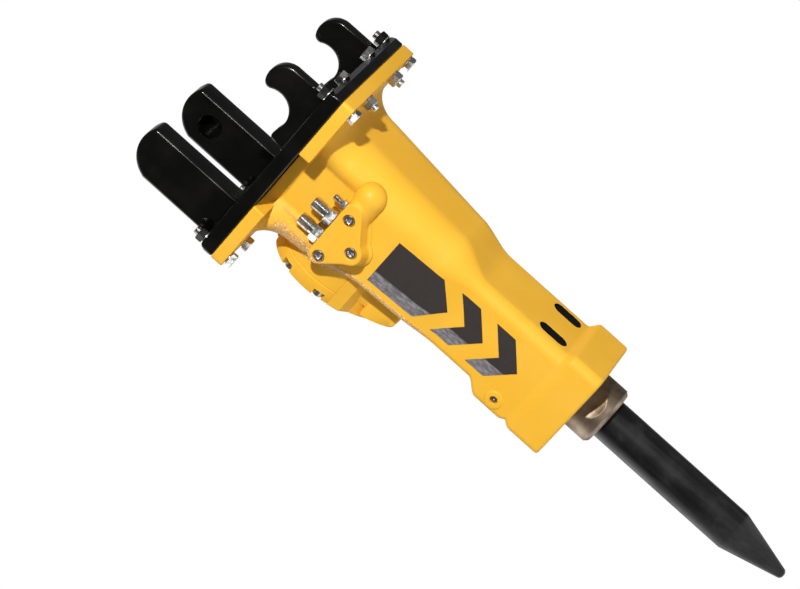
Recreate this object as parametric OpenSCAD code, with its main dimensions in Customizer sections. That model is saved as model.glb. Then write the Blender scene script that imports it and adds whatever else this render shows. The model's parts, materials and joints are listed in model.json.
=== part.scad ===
// Hydraulic breaker hammer with a round moil point and a bolted two-hook carrier bracket.
// Sizes are in millimetres. Every piece is drawn about the tool axis, with the joint face between
// housing and bracket at z = 0, and is then placed with the origin at the centre of the front saddle.
// +Z points away from the tool's point, +X to the front, and the hose side of the body faces -Y.

/* [Tool] */
// Diameter of the round tool
tool_d = 95; // [90:1:100]
// Length of the tool's conical point
tool_point_l = 145; // [100:1:200]
// Diameter of the blunt end of the point
tool_tip_d = 20; // [8:1:40]
// Reach of the point below the end of the lower bush
tool_reach = 505; // [300:5:700]
// Length of tool inside the housing when it hangs at its lower stop
tool_shank_l = 278; // [270:1:320]
// Travel of the tool between its retaining stops
tool_travel = 55; // [30:1:60]
// Radial play of the tool in its bushes
tool_play = 0.4; // [0.3:0.1:0.8]

/* [Bushes and retainer] */
// Wall of the lower bush
bush_wall = 23; // [18:1:26]
// Length of the lower bush inside the foot
bush_seat_l = 98; // [80:1:100]
// Length of the lower bush below the foot
bush_proud = 64; // [40:1:90]
// Chamfer at the lower end of the bush
bush_chamfer = 8; // [3:1:10]
// Height of the flat milled on the collar of the lower bush
bush_flat_h = 38; // [20:1:40]
// Depth of that flat
bush_flat_depth = 8; // [4:1:10]
// Wall of the upper bush
upper_bush_wall = 18; // [14:1:20]
// Length of the upper bush
upper_bush_l = 100; // [60:1:105]
// Width of a retainer bar
bar_w = 30; // [24:1:32]
// Height of a retainer bar
bar_h = 74; // [60:1:76]
// Bite of a retainer bar into the side of the tool
bar_bite = 5.5; // [4:0.5:8]
// Height of the bars' middle above the foot's lower face
bar_rise = 146; // [142:1:150]
// Depth of the bars' front ends below the front face
bar_recess = 22; // [10:1:30]
// Diameter of the pin that locks the retainer bars
lock_pin_d = 16; // [12:1:18]
// Distance of the lock pin behind the tool axis
lock_pin_back = 96; // [94:1:100]
// Diameter of the pin that holds the lower bush
bush_pin_d = 18; // [14:1:20]

/* [Piston and valve] */
// Diameter of the piston's striking stem
piston_d = 95; // [88:1:98]
// Diameter of the piston's land
piston_land_d = 112; // [106:1:116]
// Diameter of the piston's upper stem
piston_upper_d = 88; // [78:1:90]
// Length of the striking stem
piston_stem_l = 130; // [120:1:150]
// Length of the land
piston_land_l = 90; // [70:1:110]
// Length of the upper stem
piston_upper_l = 110; // [100:1:130]
// Stroke of the piston
piston_stroke = 80; // [60:1:90]
// Wall of the cylinder liner round the land
liner_wall = 32; // [26:1:34]
// Length of the valve sleeve
valve_sleeve_l = 56; // [40:1:60]
// Travel of the valve sleeve
valve_travel = 12; // [8:1:16]
// Wall of the valve sleeve
valve_sleeve_wall = 12; // [8:1:14]
// Thickness of the back head's plug
head_plug_t = 23; // [16:1:30]
// Thickness of the back head's flange
head_flange_t = 25; // [22:1:30]
// Width of the back head's flange round the bore
head_flange_w = 32; // [30:1:36]

/* [Housing] */
// Length of the flange along X
flange_l = 483; // [470:1:520]
// Width of the flange along Y
flange_w = 420; // [410:1:460]
// Thickness of the flange
flange_t = 30; // [24:1:36]
// Corner radius of the flange
flange_r = 8; // [4:1:20]
// Half width of the body below the flange's fillet
neck_half = 147; // [144:1:152]
// Height of the fillet under the flange
neck_fillet_h = 70; // [50:1:80]
// Spread of that fillet
neck_fillet_w = 40; // [25:1:45]
// Half width of the body where its shoulder starts
shoulder_half = 124; // [120:1:130]
// Radius of the front corners under the flange
neck_r = 86; // [70:1:95]
// Radius of the front corners at the shoulder
shoulder_r = 74; // [60:1:80]
// Rear of the body below the flange's fillet from the tool axis
neck_rear = 133; // [128:1:136]
// Radius of the rear corners under the flange
neck_rear_r = 38; // [20:1:45]
// Radius of the rear corners below the neck
rear_r = 13; // [6:1:20]
// Depth below the flange face where the rear face has run in to the waist
rear_run_drop = 290; // [270:5:320]
// Depth of the shoulder's start below the flange face
shoulder_drop = 372; // [365:1:380]
// Height of the shoulder
shoulder_h = 108; // [90:1:115]
// Front of the waist from the tool axis
waist_front = 91; // [88:1:100]
// Rear of the waist from the tool axis
waist_rear = 97; // [94:1:104]
// Half width of the waist
waist_half = 107; // [102:1:112]
// Corner radius of the waist
waist_r = 30; // [20:1:36]
// Front of the foot from the tool axis
foot_front = 108; // [104:1:120]
// Rear of the foot from the tool axis
foot_rear = 125; // [120:1:135]
// Half width of the foot
foot_half = 115; // [113:1:125]
// Corner radius of the foot
foot_r = 22; // [12:1:28]
// Height of the foot's step above its lower face
foot_h = 76; // [60:1:80]
// Height over which the waist widens into the foot
foot_step_h = 38; // [20:1:44]
// Height of the rear swelling round the lock pin
swell_h = 180; // [176:1:190]
// Height over which the rear swelling blends in
swell_blend_h = 58; // [40:1:60]
// Rounding of the foot's lower edge
foot_edge = 6; // [2:1:10]
// Width of the hose pocket through the flange
pocket_w = 160; // [150:1:170]
// Distance of the hose pocket's floor from the tool axis
pocket_y = 130; // [126:1:134]

/* [Accumulator] */
// Depth of the accumulator's axis below the flange face
acc_drop = 190; // [186:1:196]
// Diameter of the accumulator drum
acc_d = 244; // [236:1:248]
// Distance of the drum's joint face from the tool axis
acc_face_x = 158; // [154:1:164]
// Thickness of the accumulator cover
acc_cover_t = 36; // [32:1:44]
// Diameter of the gas chamber
acc_chamber_d = 160; // [140:1:164]
// Depth of the chamber on each side of the joint
acc_chamber_depth = 20; // [14:1:22]
// Number of cover screws
acc_screw_count = 8; // [6:1:10]
// Angle of the first cover screw below the drum's near side
acc_screw_start = 16; // [0:1:40]
// Half width of the rib below the drum
rib_half = 70; // [50:1:80]

/* [Port block] */
// Distance of the port block's face from the tool axis
block_face_y = 175; // [170:1:185]
// Distance of the port block's seat from the tool axis
block_seat_y = 128; // [125:1:129]
// Depth of the port block's top below the flange face
block_top = 145; // [140:1:150]
// Offset of the port block's middle along X
block_x = -30; // [-34:1:-26]
// Spacing of the two upper block screws
block_screw_dx = 110; // [106:1:114]
// Depth of the upper screws below the flange face
block_screw_z = 171; // [168:1:174]
// Depth of the lower screw below the flange face
block_low_z = 219; // [214:1:226]
// Radius of the port block's rounded nose
nose_r = 35; // [32:1:38]
// Reach of the nose's centre in front of the front screw
nose_dx = 56; // [50:1:60]
// Spread of the block's lower side towards its seat
block_spread = 18; // [10:1:22]
// Spacing of the two hose fittings
port_dx = 50; // [48:1:54]
// Distance of the fittings from the tool axis
port_y = 152; // [150:1:154]
// Diameter of a hose fitting's nose
fitting_d = 31; // [28:1:33]
// Height of a hose fitting above the block
fitting_h = 58; // [50:1:70]
// Diameter of the lubrication fitting's nose
lube_d = 16; // [12:1:18]

/* [Bracket] */
// Thickness of the bracket plate
plate_t = 33; // [28:1:36]
// Chamfer round the plate's upper edge
plate_chamfer = 12; // [4:1:14]
// Thickness of a front hook
hook_t = 30; // [24:1:32]
// Distance of the front hooks' outer faces from the plate's sides
hook_inset = 30; // [26:1:36]
// Radius of the front saddle
saddle_r = 46; // [40:1:48]
// Distance of the saddle's centre in front of the tool axis
saddle_x = 96; // [92:1:100]
// Height of the saddle's centre above the joint face
saddle_z = 112; // [108:1:116]
// Radius of a front hook's round top
hook_top_r = 45; // [42:1:48]
// Distance of the front hooks' noses from the plate's front edge
hook_back = 33.5; // [30:0.5:38]
// Height of the centre of the hook's round top above the saddle's centre
hook_top_dz = 4; // [0:1:12]
// Height of the heel behind the saddle above the joint face
heel_z = 72; // [68:1:84]
// Thickness of that heel at its top
heel_t = 24; // [12:1:30]
// Thickness of a rear hook
rear_t = 60; // [50:1:66]
// Distance of the rear hooks' outer faces from the plate's sides
rear_inset = 40; // [38:1:46]
// Distance of the rear hooks' backs from the plate's rear edge
rear_back = 12.5; // [8:0.5:18]
// Length of the rear hook
rear_l = 111; // [104:1:114]
// Radius of the rear hook's round top
rear_top_r = 73; // [70:1:78]
// Distance from the rear hook's front face to the centre of its round top
rear_top_dx = 40; // [34:1:44]
// Height of the centre of the round top above the joint face
rear_top_z = 203; // [196:1:210]
// Radius of the lock pin bores in the rear hooks
lock_bore_r = 27; // [20:0.5:29]
// Depth of those bores
lock_bore_depth = 45; // [30:1:48]
// Height of the lock bores above the joint face
lock_bore_z = 198; // [190:1:204]
// Width of the margin outside the hose window
window_rim = 18; // [14:1:22]

/* [Fasteners] */
// Thread diameter of the flange bolts
bolt_d = 20; // [18:1:22]
// Distance of the flange bolts from the front and rear edges
bolt_edge = 20; // [19:1:26]
// Distance of the outer flange bolts from the sides of the flange
bolt_side = 20; // [18:1:22]
// Distance of the inner flange bolts from the sides of the flange
bolt_inner_side = 123; // [120:1:126]
// Thread diameter of the socket screws
screw_d = 16; // [14:1:17]

/* [Hidden] */
$fn = 64;

// Clearances: sliding pieces, seated pieces, end stops, and the reach of a cut past a face
slide_gap = 0.3;
seat_gap = 0.05;
stop_gap = 0.3;
cut = 1;
strike_gap = 0.5;
head_room = 6.5;

// Vertical stack: the body is as long as what it holds
piston_l = piston_stem_l + piston_land_l + piston_upper_l;
head_t = head_plug_t + head_flange_t;
body_l = head_t + head_room + piston_stroke + piston_l + strike_gap + tool_travel + tool_shank_l;
foot_z = -body_l;
tool_top = foot_z + tool_shank_l;
piston_z = tool_top + tool_travel + strike_gap;
land_z = piston_z + piston_stem_l;
upper_stem_z = land_z + piston_land_l;
tool_tip = foot_z - bush_proud - tool_reach;

// Tool, bushes and retainer
tool_r = tool_d / 2;
bush_bore_r = tool_r + tool_play;
bush_r = bush_bore_r + bush_wall;
bush_top = foot_z + bush_seat_l;
upper_bush_r = bush_bore_r + upper_bush_wall;
bar_z = foot_z + bar_rise;
bar_y = tool_r - bar_bite + bar_w / 2;
bar_front = waist_front - bar_recess;
bar_end_wall = 10;
bar_back = foot_rear - bar_end_wall;
bar_gap = 0.5;
slot_w = bar_w + 2 * bar_gap;
slot_h = bar_h + 2 * bar_gap;
flat_y = tool_r - bar_bite - bar_gap;
bar_ledge = 9;
upper_bush_z = bar_z + slot_h / 2 + bar_ledge;
upper_bush_top = upper_bush_z + upper_bush_l;
retainer_relief = 1;
retainer_r = upper_bush_r + retainer_relief;
groove_z = foot_z + bush_seat_l / 2;
groove_h = bush_pin_d + 2 * bar_gap;
groove_depth = 9;
bush_flat_angle = -62;
bush_pin_x = bush_r - groove_depth + bar_gap + bush_pin_d / 2;
bush_pin_recess = 4;
pin_cup_depth = 6;
pin_cup_r = lock_pin_d * 0.8;
pin_recess = 8;
seal_groove_depth = 8;
seal_h = 14;
seal_z = foot_z - bush_proud / 2 - seal_h / 2;

// Piston, liner and valve
piston_r = piston_d / 2;
land_r = piston_land_d / 2;
upper_r = piston_upper_d / 2;
liner_bore_r = land_r + slide_gap;
liner_r = liner_bore_r + liner_wall;
liner_seat_r = liner_r + seat_gap;
land_cushion = 3;
liner_lift = 24;
liner_over = 6;
main_bore_z = land_z - land_cushion;
liner_z = piston_z + liner_lift;
liner_top = upper_stem_z + piston_stroke + liner_over;
liner_port_rise = 12;
head_z = -head_t;
passage_gap = 12;
passage_r = piston_r + passage_gap;
ring_h = 8;
ring_depth = 6;
ring_first = 20;
ring_pitch = 22;
piston_ring_z = [for (i = [0:2]) liner_z + ring_first + i * ring_pitch];
o_ring_d = 6;
liner_ring_in = 30;
liner_ring_z = [liner_z + liner_ring_in, liner_top - liner_ring_in];
valve_wall = 15;
sleeve_r = upper_r + valve_wall + valve_sleeve_wall;
sleeve_bore_r = sleeve_r - valve_sleeve_wall;
sleeve_z = head_z - stop_gap - valve_travel - valve_sleeve_l;
head_flange_r = liner_r + head_flange_w;
head_screw_r = liner_r + head_flange_w / 2;
head_screw_count = 6;
head_screw_l = 48;
head_ring_rise = 8;
valve_port_r = 7;
valve_port_rise = 14;

// Socket screws by the thread diameter
screw_r = screw_d / 2;
screw_head_r = screw_d * 0.75;
screw_head_h = screw_d;
screw_socket_w = screw_d * 0.85;
screw_hole_gap = 0.4;
counterbore_gap = 2;
counterbore_r = screw_head_r + counterbore_gap;
screw_sink = 2;

// Accumulator
acc_r = acc_d / 2;
acc_chamber_r = acc_chamber_d / 2;
acc_end_x = -acc_face_x - acc_cover_t;
acc_rim = 2;
acc_screw_r = acc_r - counterbore_r - acc_rim;
acc_screw_l = 60;
rib_drop = 80;
rib_root = 30;
rib_run = 50;
rib_edge = 8;
rib_lug_h = 18;
rib_lug_w = 15;
rib_lug_slope = 14;
diaphragm_t = 4;
diaphragm_rim_w = 7;
diaphragm_rim_r = acc_chamber_r + diaphragm_rim_w;
diaphragm_rim_t = 8;
gas_valve_r = 15;
gas_cap_r = 11;
gas_cap_l = 14;
gas_hex_h = 10;
gas_hex_af = 2 * gas_valve_r + 4;
gas_bore_r = 3;

// Port block
port_x = [block_x - port_dx / 2, block_x + port_dx / 2];
lube_dx = 12;
lube_x = block_x + block_screw_dx / 2 + lube_dx;
nose_x = block_x + block_screw_dx / 2 + nose_dx;
nose_sink = 5;
nose_rise = 7;
nose_y = block_face_y - nose_r - nose_sink;
nose_z = -block_top - nose_r + nose_rise;
block_corner_r = 21;
block_low_r = 27;
block_low_back = 4;
block_screw_end = 4;
block_screw_deep = 28;
seat_margin = 0.3;
port_thread_r = fitting_d / 2 - 2;
port_thread_l = 22;
port_bore_r = 9;
port_hole_drop = 6;
port_hole_z = -block_screw_z - port_hole_drop;
port_seal_r = 17;
port_seal_w = 6;
port_seal_t = 3;
fitting_hex_h = 20;
lube_thread_r = lube_d / 2 - 1;
lube_thread_l = 14;
lube_hex_h = 10;
lube_h = 32;
lube_bore_r = 3;
fitting_neck_l = 8;
plug_r = 12;
plug_l = 10;
plug_thread_r = 8;
plug_thread_l = 20;
plug_dx = 80;
plug_sink = 3;
plug_pocket_r = plug_r * 1.3;
block_screw_xz = [[block_x - block_screw_dx / 2, -block_screw_z],
    [block_x + block_screw_dx / 2, -block_screw_z], [block_x, -block_low_z]];

// Bracket
hook_y = flange_w / 2 - hook_inset - hook_t / 2;
hook_top_x = flange_l / 2 - hook_back - hook_top_r;
rear_out = flange_w / 2 - rear_inset;
rear_y = rear_out - rear_t / 2;
rear_front = flange_l / 2 - rear_back - rear_l;
window_y = flange_w / 2 - window_rim;
rear_top_x = -rear_front - rear_top_dx;
lock_bore_x = -rear_front - rear_l / 2;

// Flange bolts: the four rows of the pattern
bolt_x = flange_l / 2 - bolt_edge;
bolt_y = flange_w / 2 - bolt_side;
bolt_inner_y = flange_w / 2 - bolt_inner_side;
bolt_hole_r = bolt_d / 2 + 1;
bolt_af = bolt_d * 1.5;
bolt_head_h = bolt_d * 0.625;
nut_h = bolt_d * 0.8;
washer_t = 3;
washer_r = bolt_d * 0.85;
bolt_end = 10;
grip = flange_t + plate_t + 2 * washer_t;
bolt_places = concat(
    [for (x = [-1, 1], y = [-1, 1]) [x * bolt_x, y * bolt_y]],
    [for (y = [-1, 1]) [-bolt_x, y * bolt_inner_y]]);
crossed_places = [for (y = [-1, 1]) [bolt_x, y * bolt_inner_y]];

// Colours as the photograph shows them
yellow = [0.96, 0.72, 0.13];
black = [0.06, 0.06, 0.06];
steel = [0.62, 0.62, 0.63];
zinc = [0.78, 0.78, 0.76];
bronze = [0.58, 0.52, 0.46];
dark_steel = [0.16, 0.16, 0.17];
rubber = [0.09, 0.09, 0.09];

// Body outline. Each function gives one size of the rounded rectangle at height z.

// 0 above z_from, 1 below z_to, with a smooth step between
function ramp(z, z_from, z_to) =
    let (t = max(0, min(1, (z - z_from) / (z_to - z_from)))) t * t * (3 - 2 * t);
function mix(a, b, t) = a + (b - a) * t;

fillet_z = -flange_t - neck_fillet_h;
shoulder_z = -shoulder_drop;
waist_z = shoulder_z - shoulder_h;
foot_step_z = foot_z + foot_h;
swell_z = foot_z + swell_h;
plug_face_y = half_at(-block_screw_z) - plug_sink;

function below_fillet(z) = max(0, min(1, (fillet_z - z) / (fillet_z - shoulder_z)));
function quarter(t) = 1 - sqrt(1 - t * t);
function flare(z) = neck_fillet_w * quarter(max(0, (z - fillet_z) / neck_fillet_h));
function upper_half(z) = mix(neck_half, shoulder_half, below_fillet(z)) + flare(z);
function into_waist(z) = ramp(z, shoulder_z, waist_z);
function into_foot(z) = ramp(z, foot_step_z + foot_step_h, foot_step_z);
function into_swell(z) = ramp(z, swell_z + swell_blend_h, swell_z);
function edge_in(z) = foot_edge * quarter(max(0, (foot_z + foot_edge - z) / foot_edge));
function front_at(z) =
    mix(mix(upper_half(z), waist_front, into_waist(z)), foot_front, into_foot(z)) - edge_in(z);
function into_rear(z) = ramp(z, fillet_z, -rear_run_drop);
function rear_at(z) =
    mix(mix(neck_rear, waist_rear, into_rear(z)) + flare(z), foot_rear, into_swell(z)) - edge_in(z);
function half_at(z) =
    mix(mix(upper_half(z), waist_half, into_waist(z)), foot_half, into_foot(z)) - edge_in(z);
function corner_at(z) =
    mix(mix(mix(neck_r, shoulder_r, below_fillet(z)), waist_r, into_waist(z)), foot_r, into_foot(z));
function rear_corner_at(z) = mix(neck_rear_r, rear_r, into_rear(z));

// Points from one height to another, both ends included
function span(a, b, n) = [for (i = [0:n]) mix(a, b, i / n)];
body_z = concat(span(-flange_t / 2, fillet_z, 7), span(fillet_z - 30, -rear_run_drop, 6),
    span(shoulder_z, waist_z, 8), span(swell_z + swell_blend_h, swell_z, 5),
    span(foot_step_z + foot_step_h, foot_step_z, 5),
    span(foot_z + foot_edge, foot_z, 3));
corner_steps = 8;

// One ring of the body, anticlockwise from above
function ring_at(z) =
    let (f = front_at(z), b = rear_at(z), h = half_at(z), r = corner_at(z), q = rear_corner_at(z),
        corners = [[f - r, h - r, r], [q - b, h - q, q], [q - b, q - h, q], [f - r, r - h, r]])
    [for (k = [0:3], i = [0:corner_steps]) let (a = 90 * k + 90 * i / corner_steps, c = corners[k])
        [c[0] + c[2] * cos(a), c[1] + c[2] * sin(a), z]];

module body_loft() {
    count = 4 * (corner_steps + 1);
    rings = len(body_z);
    points = [for (z = body_z) each ring_at(z)];
    sides = [for (j = [0:rings - 2], i = [0:count - 1])
        let (a = j * count + i, b = j * count + (i + 1) % count, c = a + count, d = b + count)
        each [[a, b, c], [b, d, c]]];
    top = [[for (i = [0:count - 1]) count - 1 - i]];
    bottom = [[for (i = [0:count - 1]) (rings - 1) * count + i]];
    polyhedron(points, concat(sides, top, bottom), convexity = 6);
}

// Helpers

// A plate with rounded corners, its lower face at z = 0
module rounded_plate(l, w, t, r) {
    linear_extrude(t) {
        square([l - 2 * r, w], center = true);
        square([l, w - 2 * r], center = true);
        for (x = [-1, 1], y = [-1, 1]) translate([x * (l / 2 - r), y * (w / 2 - r)]) circle(r);
    }
}

// A tube from z to z + h
module tube(r_out, r_in, h) {
    difference() {
        cylinder(r = r_out, h = h);
        translate([0, 0, -cut]) cylinder(r = r_in, h = h + 2 * cut);
    }
}

// A six-sided prism by its width across flats
module hex(af, h) {
    cylinder(d = af / cos(30), h = h, $fn = 6);
}

// A bar with round ends along X, its section upright
module stadium_bar(l, w, h) {
    translate([-l / 2, 0, 0]) rotate([90, 0, 90]) linear_extrude(l) {
        square([w, h - w], center = true);
        for (s = [-1, 1]) translate([0, s * (h - w) / 2]) circle(w / 2);
    }
}

// A socket head screw, its head's seat at z = 0 and its shank pointing down
module socket_screw(l) {
    difference() {
        union() {
            cylinder(r = screw_head_r, h = screw_head_h);
            translate([0, 0, -l]) cylinder(r = screw_r, h = l + cut);
        }
        translate([0, 0, screw_head_h / 2]) hex(screw_socket_w, screw_head_h);
    }
}

// The hole for such a screw, with the head sunk by head_depth
module screw_hole(l, head_depth) {
    translate([0, 0, -l - cut]) cylinder(r = screw_r + screw_hole_gap, h = l + 2 * cut);
    cylinder(r = counterbore_r, h = head_depth + cut);
}

// Turns a piece from +Z to -Y, at the hose side of the body
module facing_hose_side(x, y, z) {
    translate([x, -y, z]) rotate([90, 0, 0]) children();
}

// Turns a piece from +Z to -X, at the accumulator's axis
module facing_rear(x) {
    translate([x, 0, -acc_drop]) rotate([0, -90, 0]) children();
}

// The cover screws of the accumulator, the first one below the near side
module at_acc_screws(x) {
    facing_rear(x) for (i = [0:acc_screw_count - 1])
        rotate(-90 - acc_screw_start + i * 360 / acc_screw_count) translate([acc_screw_r, 0, 0]) children();
}

module at_head_screws() {
    for (i = [0:head_screw_count - 1])
        rotate((i + 0.5) * 360 / head_screw_count) translate([head_screw_r, 0, 0]) children();
}

// Housing

// Lower rib on the rear, under the accumulator drum
module rear_rib() {
    rib_top = -acc_drop - acc_r / 2;
    rib_bottom = -acc_drop - acc_r - rib_drop;
    lug_z = rib_bottom + rib_drop + rib_lug_h;
    root_x = rib_root - shoulder_half;
    translate([0, rib_half, 0]) rotate([90, 0, 0]) linear_extrude(2 * rib_half)
        polygon([[root_x, rib_top], [acc_end_x, rib_top], [acc_end_x, lug_z],
            [acc_end_x + rib_lug_w, lug_z - rib_lug_slope],
            [acc_end_x + rib_run - rib_edge, rib_bottom + rib_edge],
            [acc_end_x + rib_run, rib_bottom], [root_x, rib_bottom]]);
}

module tool_bores() {
    translate([0, 0, foot_z - cut]) cylinder(r = bush_r + seat_gap, h = bush_seat_l + cut);
    translate([0, 0, bush_top - cut]) cylinder(r = retainer_r, h = upper_bush_z - bush_top + cut);
    translate([0, 0, upper_bush_z - cut]) cylinder(r = upper_bush_r + seat_gap, h = upper_bush_l + cut);
    translate([0, 0, upper_bush_top - cut]) cylinder(r = passage_r, h = liner_z - upper_bush_top + 2 * cut);
}

module cylinder_bores() {
    translate([0, 0, liner_z]) cylinder(r = liner_seat_r, h = cut - liner_z);
    translate([0, 0, -head_flange_t]) cylinder(r = head_flange_r + seat_gap, h = head_flange_t + cut);
    at_head_screws() translate([0, 0, -head_flange_t]) screw_hole(head_screw_l + screw_sink, 0);
}

module retainer_cuts() {
    slot_l = foot_front + bar_back + cut;
    for (y = [-1, 1]) translate([(foot_front + cut - bar_back) / 2, y * bar_y, bar_z])
        stadium_bar(slot_l, slot_w, slot_h);
    facing_hose_side(-lock_pin_back, foot_half + cut, bar_z)
        translate([0, 0, -foot_half - bar_y - bar_w])
            cylinder(r = lock_pin_d / 2 + seat_gap, h = 2 * foot_half);
    facing_hose_side(-lock_pin_back, half_at(bar_z) - pin_cup_depth, bar_z)
        cylinder(r = pin_cup_r, h = 2 * foot_half);
    translate([bush_pin_x, 0, groove_z]) rotate([-90, 0, 0])
        cylinder(r = bush_pin_d / 2 + seat_gap, h = foot_half + cut);
}

module accumulator_cuts() {
    facing_rear(-acc_face_x - cut) mirror([0, 0, 1])
        translate([0, 0, -2 * cut]) cylinder(r = acc_chamber_r, h = acc_chamber_depth + 3 * cut);
    facing_rear(-liner_r + cut) cylinder(r = port_bore_r, h = acc_face_x - liner_r + cut);
    facing_rear(-acc_face_x + diaphragm_rim_t / 2)
        tube(diaphragm_rim_r, acc_chamber_r - cut, diaphragm_rim_t);
    at_acc_screws(-acc_face_x) translate([0, 0, -acc_screw_l + acc_cover_t / 2 - cut])
        cylinder(r = screw_r + screw_hole_gap, h = acc_screw_l);
}

module port_cuts() {
    facing_hose_side(0, block_seat_y, 0) linear_extrude(flange_w) block_outline(block_spread, seat_margin);
    for (x = port_x) facing_hose_side(x, block_seat_y, port_hole_z)
        translate([0, 0, liner_r / 2 - block_seat_y]) cylinder(r = port_bore_r, h = block_seat_y);
    for (p = block_screw_xz) facing_hose_side(p[0], block_seat_y, p[1])
        translate([0, 0, -block_screw_deep])
            cylinder(r = screw_r + screw_hole_gap, h = block_face_y - block_seat_y);
}

module housing() {
    color(yellow) difference() {
        union() {
            body_loft();
            translate([0, 0, -flange_t]) rounded_plate(flange_l, flange_w, flange_t, flange_r);
            facing_rear(-liner_r) cylinder(r = acc_r, h = acc_face_x - liner_r);
            rear_rib();
        }
        tool_bores();
        cylinder_bores();
        retainer_cuts();
        accumulator_cuts();
        port_cuts();
        at_plugs() {
            cylinder(r = plug_pocket_r, h = flange_w);
            translate([0, 0, -plug_thread_l - cut])
                cylinder(r = plug_thread_r + seat_gap, h = plug_thread_l + 2 * cut);
        }
        translate([acc_end_x - cut, -acc_r - cut, -acc_drop - acc_r - cut])
            cube([acc_cover_t + cut, 2 * acc_r + 2 * cut, 2 * acc_r - 2 * cut]);
        translate([-pocket_w / 2, -flange_w, -block_top - cut])
            cube([pocket_w, flange_w - pocket_y, block_top + 2 * cut]);
        for (p = concat(bolt_places, crossed_places))
            translate([p[0], p[1], -flange_t - cut]) cylinder(r = bolt_hole_r, h = flange_t + 2 * cut);
    }
}

// Tool end

module lower_bush() {
    bush_l = bush_seat_l + bush_proud;
    color(bronze) difference() {
        union() {
            translate([0, 0, foot_z - bush_proud])
                cylinder(r1 = bush_r - bush_chamfer, r2 = bush_r, h = bush_chamfer);
            translate([0, 0, foot_z - bush_proud + bush_chamfer])
                cylinder(r = bush_r, h = bush_l - bush_chamfer - slide_gap);
        }
        translate([0, 0, foot_z - bush_proud - cut]) cylinder(r = bush_bore_r, h = bush_l + 2 * cut);
        translate([0, 0, groove_z - groove_h / 2]) tube(bush_r + cut, bush_r - groove_depth, groove_h);
        translate([0, 0, seal_z]) cylinder(r = bush_bore_r + seal_groove_depth, h = seal_h);
        rotate(bush_flat_angle) translate([bush_r - bush_flat_depth, -bush_r, foot_z - bush_flat_h])
            cube([bush_r, 2 * bush_r, bush_flat_h - slide_gap]);
    }
}

module dust_seal() {
    color(rubber) translate([0, 0, seal_z]) tube(bush_bore_r + seal_groove_depth, tool_r + slide_gap, seal_h);
}

module bush_lock_pin() {
    color(steel) translate([bush_pin_x, 0, groove_z]) rotate([-90, 0, 0])
        cylinder(r = bush_pin_d / 2, h = foot_half - bush_pin_recess);
}

module upper_bush() {
    color(bronze) translate([0, 0, upper_bush_z]) tube(upper_bush_r, bush_bore_r, upper_bush_l);
}

module retainer_bars() {
    bar_l = bar_front + bar_back - cut;
    color(dark_steel) for (y = [-1, 1]) difference() {
        translate([bar_front - bar_l / 2, y * bar_y, bar_z]) stadium_bar(bar_l, bar_w, bar_h);
        translate([-lock_pin_back, 0, bar_z]) rotate([90, 0, 0])
            cylinder(r = lock_pin_d / 2 + seat_gap, h = 2 * foot_half, center = true);
    }
}

module retainer_lock_pin() {
    pin_l = half_at(bar_z) - pin_recess + bar_y + bar_w / 2;
    color(steel) facing_hose_side(-lock_pin_back, half_at(bar_z) - pin_recess, bar_z)
        translate([0, 0, -pin_l]) cylinder(r = lock_pin_d / 2, h = pin_l);
}

module tool() {
    cone_z = tool_tip + tool_point_l;
    flat_top = bar_z + slot_h / 2 + stop_gap;
    flat_bottom = bar_z - slot_h / 2 - tool_travel - stop_gap;
    top_edge = 4;
    color(dark_steel) difference() {
        union() {
            translate([0, 0, tool_tip]) cylinder(r1 = tool_tip_d / 2, r2 = tool_r, h = tool_point_l);
            translate([0, 0, cone_z]) cylinder(r = tool_r, h = tool_top - top_edge - cone_z);
            translate([0, 0, tool_top - top_edge])
                cylinder(r1 = tool_r, r2 = tool_r - top_edge, h = top_edge);
        }
        for (y = [0, 1]) mirror([0, y, 0]) translate([-tool_d, flat_y, flat_bottom])
            cube([2 * tool_d, tool_d, flat_top - flat_bottom]);
    }
}

// Hammer mechanism

module piston() {
    color(steel) {
        translate([0, 0, piston_z]) cylinder(r = piston_r, h = piston_stem_l + cut);
        translate([0, 0, land_z]) cylinder(r = land_r, h = piston_land_l);
        translate([0, 0, upper_stem_z - cut]) cylinder(r = upper_r, h = piston_upper_l + cut);
    }
}

module cylinder_liner() {
    color(steel) difference() {
        translate([0, 0, liner_z]) cylinder(r = liner_r, h = liner_top - liner_z);
        translate([0, 0, liner_z - cut])
            cylinder(r = piston_r + slide_gap, h = liner_top - liner_z + 2 * cut);
        translate([0, 0, main_bore_z]) cylinder(r = liner_bore_r, h = liner_top - main_bore_z + cut);
        for (z = piston_ring_z) translate([0, 0, z]) cylinder(r = piston_r + ring_depth, h = ring_h);
        for (z = liner_ring_z) translate([0, 0, z]) tube(liner_r + cut, liner_r - o_ring_d, o_ring_d);
        for (a = [0:90:270]) rotate(a) translate([0, 0, main_bore_z + liner_port_rise]) rotate([0, 90, 0])
            cylinder(r = port_bore_r, h = liner_r + cut);
    }
}

module piston_seals() {
    color(rubber) for (z = piston_ring_z) translate([0, 0, z])
        tube(piston_r + ring_depth, piston_r + slide_gap, ring_h);
}

module liner_seals() {
    color(rubber) for (z = liner_ring_z) translate([0, 0, z]) tube(liner_r, liner_r - o_ring_d, o_ring_d);
}

module valve_housing() {
    groove_floor = sleeve_z - stop_gap;
    color(steel) difference() {
        translate([0, 0, liner_top]) cylinder(r = liner_r, h = head_z - liner_top);
        translate([0, 0, liner_top - cut])
            cylinder(r = upper_r + slide_gap, h = head_z - liner_top + 2 * cut);
        translate([0, 0, groove_floor])
            tube(sleeve_r + slide_gap, sleeve_bore_r - slide_gap, head_z - groove_floor + cut);
        for (a = [45:90:315]) rotate(a) translate([sleeve_bore_r, 0, groove_floor + valve_port_rise])
            rotate([0, 90, 0]) cylinder(r = port_bore_r, h = liner_r);
    }
}

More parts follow.
